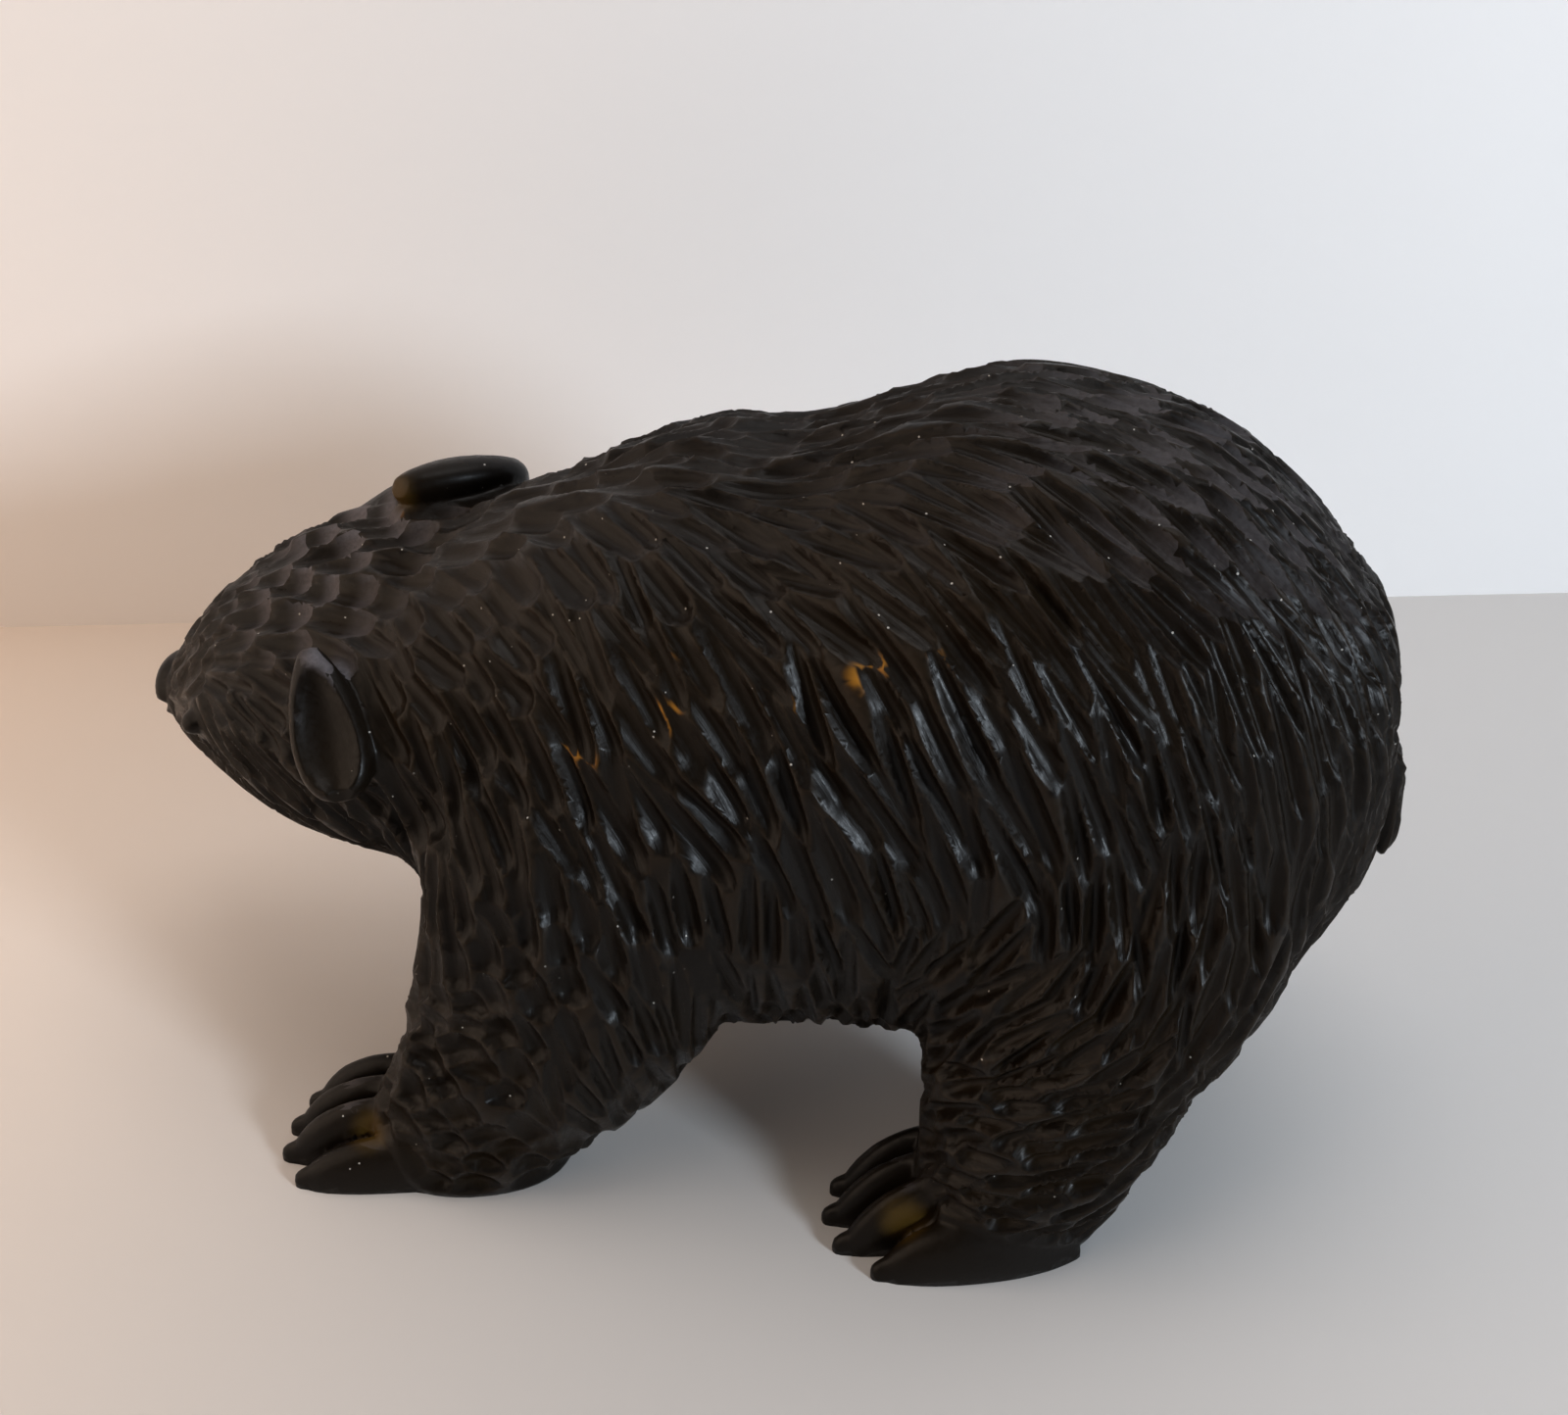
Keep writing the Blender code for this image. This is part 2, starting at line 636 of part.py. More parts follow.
def fur_at(points, normals):
    """The hair's direction along the surface and the cut's sizes, blended between the guides."""
    places = np.array([guide[1] for guide in GUIDES], float) * STEP
    flows = np.array([unit(guide[2]) for guide in GUIDES])
    sizes = np.array([guide[3:] for guide in GUIDES])
    folded = points * (1.0, 0.0, 1.0) - np.abs(points) * (0.0, 1.0, 0.0)
    gaps = ((folded[:, None] - places[None]) ** 2).sum(axis=2)
    weights = 1.0 / (gaps + (GUIDE_SOFTNESS * STEP) ** 2) ** 2
    weights /= weights.sum(axis=1, keepdims=True)
    flow = weights @ flows
    flow[:, 1] *= np.where(points[:, 1] > 0.0, -1.0, 1.0)
    flow -= normals * (flow * normals).sum(axis=1, keepdims=True)
    flow /= np.linalg.norm(flow, axis=1, keepdims=True) + 1e-12
    return flow, weights @ sizes


def cut_seeds(points, normals, share, chance):
    """Where the cuts start: points picked at random, kept where no earlier cut lies too near."""
    picked = chance.permutation(np.flatnonzero(share > CARVED_FROM))[:CANDIDATES]
    flow, sizes = fur_at(points[picked], normals[picked])
    across = np.cross(normals[picked], flow)
    along_gap = sizes[:, 0] * STEP * ALONG_GAP * sizes[:, 3]
    across_gap = sizes[:, 1] * STEP * ACROSS_GAP * sizes[:, 3]
    kept = np.zeros(len(picked), int)
    count = 0
    for i, point in enumerate(points[picked]):
        apart = points[picked[kept[:count]]] - point
        near = (apart @ flow[i] / along_gap[i]) ** 2 + (apart @ across[i] / across_gap[i]) ** 2
        deep = np.abs(apart @ normals[picked[i]]) < along_gap[i]
        if not (deep & (near < 1.0)).any():
            kept[count] = i
            count += 1
    kept = kept[:count]
    return points[picked[kept]], normals[picked[kept]], flow[kept], sizes[kept]


class Carving:
    """How deep each point of a skin is cut, cut by cut."""

    def __init__(self, points, normals):
        self.points = points
        self.normals = normals
        self.depth = np.zeros(len(points))
        self.tree = KDTree(len(points))
        for i, point in enumerate(points):
            self.tree.insert(point, i)
        self.tree.balance()

    def cut(self, seed, normal, along, length, width, depth):
        """One gouge cut round its seed: it runs in shallow, deepens and stops at a round end."""
        reach = math.hypot(length, width) / 2.0
        near = np.array([hit[1] for hit in self.tree.find_range(Vector(seed), reach)], int)
        apart = self.points[near] - seed
        run = apart @ along / length + 0.5
        side = apart @ np.cross(normal, along) / (width / 2.0)
        before = np.clip((CUT_DEEPEST_AT - run) / CUT_DEEPEST_AT, 0.0, None)
        after = np.clip((run - CUT_DEEPEST_AT) / (1.0 - CUT_DEEPEST_AT), 0.0, None)
        deep = depth * (1.0 - before**CUT_RUN_IN - after**CUT_RUN_OUT - side**2)
        deep[self.normals[near] @ normal < SAME_SIDE] = 0.0
        self.depth[near] = np.maximum(self.depth[near], deep)

    def stroke(self, start, end, width, depth):
        """A narrow cut along the skin from one place to another."""
        middle = (start + end) / 2.0
        index = self.tree.find(Vector(middle))[1]
        normal = self.normals[index]
        along = end - start
        along = unit(along - normal * (along @ normal))
        length = STROKE_OVERLAP * np.linalg.norm(end - start)
        self.cut(self.points[index], normal, along, length, width, depth)


def carve_fur(carving, share):
    """Cut the coat all over, each cut a little unlike the next."""
    chance = np.random.default_rng(SEED)
    found = cut_seeds(carving.points, carving.normals, share, chance)
    for seed, normal, flow, (length, width, deep, gap) in zip(*found):
        stretch, swell, sink = 1.0 + CUT_VARIATION * chance.uniform(-1.0, 1.0, 3)
        turn = CUT_TURN * chance.normal()
        along = math.cos(turn) * flow + math.sin(turn) * np.cross(normal, flow)
        carving.cut(seed, normal, along, length * STEP * stretch, width * STEP * swell,
                    deep * CUT_DEPTH * sink)
    carving.depth *= share


def carve_face(carving):
    """Cut the mouth line on both sides of the muzzle, and the nostrils."""
    for side in (-1, 1):
        line = [head_point(ahead, side * out, up) for ahead, out, up in MOUTH]
        for start, end in zip(line, line[1:]):
            carving.stroke(start, end, MOUTH_WIDTH, MOUTH_DEPTH)
        nostril = head_point(NOSTRIL_AT[0], side * NOSTRIL_AT[1], NOSTRIL_AT[2])
        way = head_direction(NOSTRIL_WAY[0], side * NOSTRIL_WAY[1], NOSTRIL_WAY[2])
        carving.stroke(nostril, nostril + NOSTRIL_LENGTH * way, NOSTRIL_WIDTH, MOUTH_DEPTH)


def carve(obj, smooth_surface):
    """Sink the object's skin by all of its cuts."""
    points, normals = vertex_arrays(obj.data)
    carving = Carving(points, normals)
    carve_fur(carving, fur_share(points, smooth_surface))
    carve_face(carving)
    points -= normals * carving.depth[:, None]
    obj.data.vertices.foreach_set("co", points.ravel())
    obj.data.update()


def thin_out(obj, triangles):
    """Bring the mesh down to about that many triangles, keeping its crests and hollows."""
    thinner = obj.modifiers.new("thinner", "DECIMATE")
    thinner.ratio = triangles / (2.0 * len(obj.data.polygons))
    apply_modifiers(obj)


def flatten_soles(obj):
    """Cut the form off at the ground and close the soles flat."""
    form = bmesh.new()
    form.from_mesh(obj.data)
    everything = list(form.verts) + list(form.edges) + list(form.faces)
    bmesh.ops.bisect_plane(form, geom=everything, plane_co=(0, 0, 0), plane_no=(0, 0, 1),
                           clear_inner=True)
    rims = [edge for edge in form.edges if edge.is_boundary]
    bmesh.ops.edgeloop_fill(form, edges=rims)
    bmesh.ops.recalc_face_normals(form, faces=form.faces)
    bmesh.ops.triangulate(form, faces=form.faces)
    form.to_mesh(obj.data)
    form.free()


def stained_wood():
    """The dark stain, as a Principled material."""
    material = bpy.data.materials.new("stained_wood")
    material.use_nodes = True
    surface = material.node_tree.nodes["Principled BSDF"]
    surface.inputs["Base Color"].default_value = STAIN
    surface.inputs["Roughness"].default_value = STAIN_ROUGHNESS
    surface.inputs["Metallic"].default_value = 0.0
    return material


def centre_on_origin(obj):
    """Move the bear so that the middle of its box stands over the origin."""
    points = vertex_arrays(obj.data)[0]
    middle = (points.min(axis=0) + points.max(axis=0)) / 2.0
    points -= middle * (1.0, 1.0, 0.0)
    obj.data.vertices.foreach_set("co", points.ravel())
    obj.data.update()


def main():
    """Model the bear."""
    clear_scene()
    form = join("form", [torso(), head(), *limbs()])
    fuse(form, FORM_VOXEL)
    soften(form, ROUNDING_PASSES)
    smooth_parts = feet() + small_forms()
    smooth_surface = surface_of(smooth_parts)
    bear = join("carved_bear", [form, *smooth_parts, tail()])
    fuse(bear, CARVED_VOXEL)
    soften(bear, CREASE_PASSES)
    carve(bear, smooth_surface)
    soften(bear, CREASE_PASSES)
    thin_out(bear, TRIANGLES)
    flatten_soles(bear)
    centre_on_origin(bear)
    bear.data.materials.append(stained_wood())
    bear.data.shade_smooth()
    model = bpy.data.collections.new("carved_wooden_bear")
    bpy.context.scene.collection.children.link(model)
    bpy.context.scene.collection.objects.unlink(bear)
    model.objects.link(bear)


if __name__ == "__main__":
    main()
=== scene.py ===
"""The looks of a carved wooden bear: its gouged coat, its dark stain and wax, and the table it stands on.

Metres, +Z up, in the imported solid's own frame: the bear faces -X and its left side is -Y. Free
forms are given in steps, 184 of them to the bear's length, as in the solid's source. They are
modelled where that source models them and moved together onto the solid's box at the end.
"""

import json
import logging
import math
from dataclasses import dataclass, field
from enum import Enum

import bpy
import numpy as np
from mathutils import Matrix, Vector
from mathutils.bvhtree import BVHTree
from mathutils.kdtree import KDTree

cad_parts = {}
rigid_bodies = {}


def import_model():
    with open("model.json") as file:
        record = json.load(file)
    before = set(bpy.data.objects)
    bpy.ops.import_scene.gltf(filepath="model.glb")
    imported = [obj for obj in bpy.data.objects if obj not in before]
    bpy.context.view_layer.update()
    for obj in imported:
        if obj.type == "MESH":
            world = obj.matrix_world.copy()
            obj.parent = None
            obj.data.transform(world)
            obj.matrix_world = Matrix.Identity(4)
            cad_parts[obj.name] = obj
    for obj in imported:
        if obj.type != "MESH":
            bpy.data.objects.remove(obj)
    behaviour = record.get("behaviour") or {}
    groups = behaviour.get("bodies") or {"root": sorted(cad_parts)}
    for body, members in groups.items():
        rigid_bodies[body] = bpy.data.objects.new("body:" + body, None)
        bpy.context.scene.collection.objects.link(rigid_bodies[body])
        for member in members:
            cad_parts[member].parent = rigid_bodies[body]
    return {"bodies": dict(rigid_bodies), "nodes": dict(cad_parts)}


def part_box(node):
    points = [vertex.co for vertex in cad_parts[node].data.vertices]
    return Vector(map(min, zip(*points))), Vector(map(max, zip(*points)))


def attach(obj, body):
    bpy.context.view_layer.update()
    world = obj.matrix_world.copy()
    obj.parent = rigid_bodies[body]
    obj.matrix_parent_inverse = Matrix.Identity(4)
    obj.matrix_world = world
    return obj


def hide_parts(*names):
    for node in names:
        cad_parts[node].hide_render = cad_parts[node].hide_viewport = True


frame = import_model()

LENGTH = 0.184
LENGTH_STEPS = 184
STEP = LENGTH / LENGTH_STEPS
CARVED_NODE = "carved_bear"
SLOT = "stained_wood"

# How finely outlines are drawn: corners round a form, and a ball's rings

ROUND = 2.0
BODY_CORNERS = 48
TOE_CORNERS = 28
EAR_CORNERS = 36
BALL_CORNERS = 36
BALL_RINGS = 24

# A round-ended form's corners, rings in each end, where its first ring lies, and its bluntness

TAPER_CORNERS = 24
TAPER_RINGS = 9
TAPER_END = 0.12
TAPER_BLUNTNESS = 4

# A gouge cut's run-in and end as powers, how far the skin may turn away under it, and how much
# longer a narrow stroke is cut than the line between its places

RUN_IN = 1.8
ROUND_END = 2.2
LEAST_FACING = 0.35
STROKE_OVERRUN = 1.5

# What counts as a full crest and a full hollow for the stain, in metres, and how far the form's
# broad normals are evened out, in passes over neighbouring points

FULL_CREST = 0.00006
FULL_HOLLOW = 0.0020
BROAD_PASSES = 10

log = logging.getLogger("carved_bear")


class Side(Enum):
    """The bear's own sides, by the sign of Y."""

    LEFT = -1
    RIGHT = 1


# Small helpers


def deselect_all() -> None:
    """Leave nothing selected."""
    bpy.ops.object.select_all(action="DESELECT")


def only(obj: bpy.types.Object) -> None:
    """Select one object alone and make it the active one.

    Args:
        obj: The object.
    """
    deselect_all()
    obj.select_set(True)
    bpy.context.view_layer.objects.active = obj


def unit(vector: np.ndarray) -> np.ndarray:
    """The vector at length one."""
    return np.asarray(vector, float) / np.linalg.norm(vector)


def read_rows(items: bpy.types.bpy_prop_collection, name: str, width: int = 3,
              kind: type = float) -> np.ndarray:
    """Read one property of every vertex, edge, face or corner of a mesh.

    Args:
        items: The mesh's vertices, edges, polygons or loops.
        name: The property's name.
        width: How many numbers it has.
        kind: The type of its numbers.

    Returns:
        One row for each item.
    """
    values = np.empty(len(items) * width, kind)
    items.foreach_get(name, values)
    return values.reshape(-1, width)


def read_points(obj: bpy.types.Object) -> np.ndarray:
    """The object's vertices as an array of points."""
    return read_rows(obj.data.vertices, "co")


def read_normals(obj: bpy.types.Object) -> np.ndarray:
    """The object's vertex normals as an array."""
    return read_rows(obj.data.vertices, "normal")


def point_tree(points: np.ndarray) -> KDTree:
    """Make a tree that finds the points near a place.

    Args:
        points: The points in metres.

    Returns:
        The tree, whose indices are the points' own.
    """
    tree = KDTree(len(points))
    for index, point in enumerate(points):
        tree.insert(point, index)
    tree.balance()
    return tree


def write_points(obj: bpy.types.Object, points: np.ndarray) -> None:
    """Move the object's vertices to these points."""
    obj.data.vertices.foreach_set("co", np.ascontiguousarray(points, np.float32).ravel())
    obj.data.update()


def face_outwards(obj: bpy.types.Object) -> None:
    """Turn every face of a closed form outwards.

    Args:
        obj: The form's object.
    """
    only(obj)
    bpy.ops.object.mode_set(mode="EDIT")
    bpy.ops.mesh.select_all(action="SELECT")
    bpy.ops.mesh.normals_make_consistent(inside=False)
    bpy.ops.object.mode_set(mode="OBJECT")


def apply_modifier(obj: bpy.types.Object, kind: str, **settings: object) -> None:
    """Put a modifier of one kind on the object and apply it.

    Args:
        obj: The object to change.
        kind: The modifier's type.
        settings: Its settings by name.
    """
    only(obj)
    modifier = obj.modifiers.new(kind.lower(), kind)
    for name, value in settings.items():
        setattr(modifier, name, value)
    bpy.ops.object.modifier_apply(modifier=modifier.name)


def join(name: str, pieces: list[bpy.types.Object]) -> bpy.types.Object:
    """Join several objects into one whose shapes still run through each other.

    Args:
        name: The joined object's name.
        pieces: The objects, of which the first one stays.

    Returns:
        The joined object.
    """
    deselect_all()
    for piece in pieces:
        piece.select_set(True)
    bpy.context.view_layer.objects.active = pieces[0]
    bpy.ops.object.join()
    pieces[0].name = name
    return pieces[0]


def rounded(stations: tuple, rings_between: int = 5) -> np.ndarray:
    """More stations between the given ones, on a smooth curve through each of their values.

    Args:
        stations: Rows of numbers.
        rings_between: How many rows stand for each gap.

    Returns:
        The rows with more between them.
    """
    rows = np.array(stations, float)
    padded = np.vstack([2 * rows[0] - rows[1], rows, 2 * rows[-1] - rows[-2]])
    before, here, there, after = padded[:-3], padded[1:-2], padded[2:-1], padded[3:]
    between = []
    for share in np.linspace(0.0, 1.0, rings_between, endpoint=False):
        between.append(
            here + 0.5 * share * (there - before)
            + share**2 * (before - 2.5 * here + 2.0 * there - 0.5 * after)
            + share**3 * 0.5 * (after - before + 3.0 * (here - there))
        )
    return np.vstack([np.stack(between, axis=1).reshape(-1, rows.shape[1]), rows[-1:]])


def section(squareness: float, count: int) -> np.ndarray:
    """Points of a rounded square of half width one.

    Args:
        squareness: 2 is round, and more is squarer.
        count: How many points.

    Returns:
        Rows of across and up.
    """
    turn = np.linspace(0.0, 2.0 * math.pi, count, endpoint=False)
    across, up = np.cos(turn), np.sin(turn)
    bend = 2.0 / squareness
    return np.stack(
        [np.sign(across) * np.abs(across) ** bend, np.sign(up) * np.abs(up) ** bend], axis=1
    )


def form_through(name: str, rings: np.ndarray) -> bpy.types.Object:
    """Model a closed form through rings of points: a sphere whose own rings are drawn out to them.

    Args:
        name: The object's name.
        rings: Points in metres, as (ring, corner, axis).

    Returns:
        The new object, its faces pointing outwards.
    """
    count, corners = rings.shape[:2]
    deselect_all()
    bpy.ops.mesh.primitive_uv_sphere_add(segments=corners, ring_count=count + 1, radius=1.0)
    obj = bpy.context.object
    obj.name = name
    ball = read_points(obj)
    row = np.rint(np.arccos(np.clip(ball[:, 2], -1.0, 1.0)) / math.pi * (count + 1)).astype(int)
    column = np.rint(np.arctan2(ball[:, 1], ball[:, 0]) / (2.0 * math.pi) * corners).astype(int)
    moved = rings[np.clip(row - 1, 0, count - 1), column % corners]
    moved[row == 0] = rings[0].mean(axis=0)
    moved[row == count + 1] = rings[-1].mean(axis=0)
    write_points(obj, moved)
    face_outwards(obj)
    return obj


def ellipsoid(name: str, centre: np.ndarray, radii: np.ndarray, axes: tuple) -> bpy.types.Object:
    """Model an ellipsoid from a sphere.

    Args:
        name: The object's name.
        centre: Its middle in metres.
        radii: Its three radii in metres.
        axes: The three directions that the radii lie along.

    Returns:
        The new object, with its place in its mesh.
    """
    deselect_all()
    bpy.ops.mesh.primitive_uv_sphere_add(segments=BALL_CORNERS, ring_count=BALL_RINGS, radius=1.0)
    obj = bpy.context.object
    obj.name = name
    write_points(obj, np.asarray(centre, float) + (read_points(obj) * radii) @ np.array(axes, float))
    face_outwards(obj)
    return obj


@dataclass(frozen=True)
class Taper:
    """A round-ended form between two places, as a toe or a claw is."""

    start: np.ndarray
    end: np.ndarray
    start_radii: tuple[float, float]
    end_radii: tuple[float, float]
    up: tuple[float, float, float] = (0.0, 0.0, 1.0)

    def build(self, name: str) -> bpy.types.Object:
        """Model the form in metres.

        Args:
            name: The object's name.

        Returns:
            The new object.
        """
        start, end = np.asarray(self.start, float), np.asarray(self.end, float)
        along = unit(end - start)
        across = unit(np.cross(along, self.up))
        upward = np.cross(across, along)
        ends = np.sin(np.linspace(TAPER_END, 1.0, TAPER_RINGS) * math.pi / 2.0)
        shares = np.concatenate([(1.0 - ends[::-1]) / 2.0, (1.0 + ends) / 2.0])
        outline = section(ROUND, TAPER_CORNERS)
        rings = []
        for share in shares:
            swell = math.sqrt(max(1.0 - (2.0 * share - 1.0) ** TAPER_BLUNTNESS, 0.0))
            wide, high = (
                (a * (1.0 - share) + b * share) * swell
                for a, b in zip(self.start_radii, self.end_radii)
            )
            rings.append(
                start + (end - start) * share
                + outline[:, :1] * wide * across + outline[:, 1:] * high * upward
            )
        return form_through(name, np.array(rings))


# The bear's masses


@dataclass(frozen=True)
class Torso:
    """The barrel of the body, with stations along X: place, underside, back line, half width."""

    stations: tuple = (
        (81.4, 63.5, 74.5, 7), (79.4, 52, 83.4, 19), (74.4, 42, 90.2, 26.5), (66.5, 33, 98.3, 32),
        (55.0, 26, 106.6, 36), (42.0, 22.5, 110.5, 37.5), (30.0, 20.5, 111.8, 37.5),
        (18.0, 19.5, 108.8, 37), (8.0, 18.5, 104.3, 36.5), (0.0, 17.5, 101.8, 36),
        (-9.0, 17.5, 102.0, 35.5), (-18.0, 18, 98.8, 35), (-28.0, 22, 93.8, 33),
        (-38.0, 28, 89.6, 30), (-48.0, 35, 83, 26), (-56.0, 44, 77, 18),
    )
    squareness: float = 2.35

    def build(self) -> bpy.types.Object:
        """Model the barrel.

        Returns:
            The new object.
        """
        outline = section(self.squareness, BODY_CORNERS)
        rings = [
            np.stack(
                [
                    np.full(len(outline), x),
                    outline[:, 0] * half,
                    (top + bottom) / 2.0 + outline[:, 1] * (top - bottom) / 2.0,
                ],
                axis=1,
            ) * STEP
            for x, bottom, top, half in rounded(self.stations)
        ]
        return form_through("torso", np.array(rings))


@dataclass(frozen=True)
class Head:
    """The lowered head, with stations along its own axis: ahead, half width, crown, jaw."""

    middle: tuple[float, float, float] = (-50.0, 0.0, 67.0)
    turn: float = 13.0
    drop: float = 17.0
    tilt: float = 19.5
    stations: tuple = (
        (-24, 26, 8, -28), (-12, 28, 12.5, -28.3), (0, 28, 15.5, -28.2), (10, 27, 15.8, -26.8),
        (18, 25, 15.6, -24.8), (26, 21.5, 13.8, -23), (34, 17, 10.2, -20.7), (41, 13, 6.3, -18.3),
        (45.5, 10, 3.0, -16), (49, 7.5, 0.2, -13.5), (51.3, 5.5, -2.2, -11.5),
    )
    squareness: float = 2.2

    def axes(self) -> tuple[np.ndarray, np.ndarray, np.ndarray]:
        """The head's forward, across (to its right side) and up directions.

        Returns:
            The three directions, each at length one.
        """
        turn, drop, tilt = (math.radians(v) for v in (self.turn, self.drop, self.tilt))
        forward = np.array(
            [-math.cos(turn) * math.cos(drop), math.sin(turn) * math.cos(drop), -math.sin(drop)]
        )
        level = np.array([math.sin(turn), math.cos(turn), 0.0])
        upright = np.cross(forward, level)
        upright = upright if upright[2] > 0.0 else -upright
        across = math.cos(tilt) * level + math.sin(tilt) * upright
        return forward, across, math.cos(tilt) * upright - math.sin(tilt) * level

    def point(self, forward: float, across: float, up: float) -> np.ndarray:
        """A place in metres from its distances in steps along the head's axes."""
        return (np.array(self.middle) + np.array([forward, across, up]) @ np.array(self.axes())) * STEP

    def direction(self, forward: float, across: float, up: float) -> np.ndarray:
        """A direction from its shares along the head's axes."""
        return unit(np.array([forward, across, up]) @ np.array(self.axes()))

    def build(self) -> bpy.types.Object:
        """Model the skull and its short muzzle.

        Returns:
            The new object.
        """
        forward, across, up = self.axes()
        outline = section(self.squareness, BODY_CORNERS)
        rings = [
            (
                np.array(self.middle) + forward * ahead + up * (crown + jaw) / 2.0
                + outline[:, :1] * half * across + outline[:, 1:] * (crown - jaw) / 2.0 * up
            ) * STEP
            for ahead, half, crown, jaw in rounded(self.stations)
        ]
        return form_through("head", np.array(rings))


@dataclass(frozen=True)
class Leg:
    """A leg, with stations down it: height, place, distance out, half length, half width, turn out."""

    name: str
    stations: tuple
    side: Side
    back: float
    squareness: float = 2.2

    def build(self) -> bpy.types.Object:
        """Model the leg down through the ground.

        Returns:
            The new object.
        """
        outline = section(self.squareness, BODY_CORNERS)
        rings = []
        for height, place, out, half_long, half_wide, turn in rounded(self.stations):
            angle = math.radians(turn)
            along = np.array([math.cos(angle), -self.side.value * math.sin(angle), 0.0])
            across = np.array([self.side.value * math.sin(angle), math.cos(angle), 0.0])
            centre = np.array([place + self.back, self.side.value * out, height])
            rings.append(
                (centre + outline[:, :1] * half_long * along + outline[:, 1:] * half_wide * across)
                * STEP
            )
        return form_through(self.name, np.array(rings))


@dataclass(frozen=True)
class Toe:
    """A toe on the ground: stations along it of share, top and half width, then those of its claw.

    The shares are of the toe's length and of the claw's. Tops are in steps, half widths in pitches.
    """

    stations: tuple
    claw: tuple = ((0.2, 3.2, 0.33), (0.6, 2.6, 0.29), (0.9, 1.9, 0.21), (1.0, 1.2, 0.10))
    sunk: float = 3.0
    squareness: float = 2.2

    def build(self, start: np.ndarray, along: np.ndarray, reach: float, claw_length: float,
              pitch: float) -> bpy.types.Object:
        """Model the toe.

        Args:
            start: Where its share 0 lies on the ground, in metres.
            along: Its level direction.
            reach: Its length without the claw, in metres.
            claw_length: The claw's length in metres.
            pitch: The distance between toes in metres.

        Returns:
            The new object.
        """
        across = np.array([-along[1], along[0], 0.0])
        rows = [(share * reach, top, half) for share, top, half in self.stations]
        rows += [(reach + share * claw_length, top, half) for share, top, half in self.claw]
        outline = section(self.squareness, TOE_CORNERS)
        rings = []
        for ahead, top, half in rounded(tuple(rows), 3):
            middle, high = (top - self.sunk) / 2.0 * STEP, (top + self.sunk) / 2.0 * STEP
            centre = start + along * ahead + np.array([0.0, 0.0, middle])
            rings.append(
                centre + outline[:, :1] * half * pitch * across
                + outline[:, 1:] * high * np.array([0.0, 0.0, 1.0])
            )
        return form_through("toe", np.array(rings))


OUTER_TOE = Toe(((-0.9, 1.4, 0.14), (-0.7, 4.0, 0.38), (-0.45, 6.6, 0.60), (-0.1, 7.8, 0.70),
                 (0.3, 7.8, 0.72), (0.6, 7.0, 0.68), (0.85, 5.4, 0.56), (1.0, 3.8, 0.42)))
MIDDLE_TOE = Toe(((-0.5, 8.5, 0.40), (-0.2, 11.2, 0.50), (0.2, 11.4, 0.55), (0.5, 10.6, 0.56),
                  (0.75, 8.6, 0.54), (0.9, 6.4, 0.48), (1.0, 4.2, 0.38)))
REAR_OUTER_TOE = Toe(((-0.95, 1.4, 0.12), (-0.75, 4.0, 0.38), (-0.5, 7.2, 0.64), (-0.15, 9.2, 0.84),
                      (0.25, 9.2, 0.86), (0.6, 7.8, 0.74), (0.85, 5.8, 0.56), (1.0, 4.0, 0.42)))
REAR_MIDDLE_TOE = Toe(((-0.5, 11.0, 0.38), (-0.2, 13.6, 0.48), (0.2, 13.6, 0.52), (0.5, 12.4, 0.53),
                       (0.75, 9.8, 0.50), (0.9, 7.0, 0.45), (1.0, 4.4, 0.37)))
FOOT_PAD = Toe(((-0.6, 5.0, 1.5), (-0.2, 6.0, 1.7), (0.3, 5.6, 1.75), (0.65, 4.0, 1.65)),
               ((-0.9, 3.0, 1.4), (-0.6, 1.6, 1.0)))


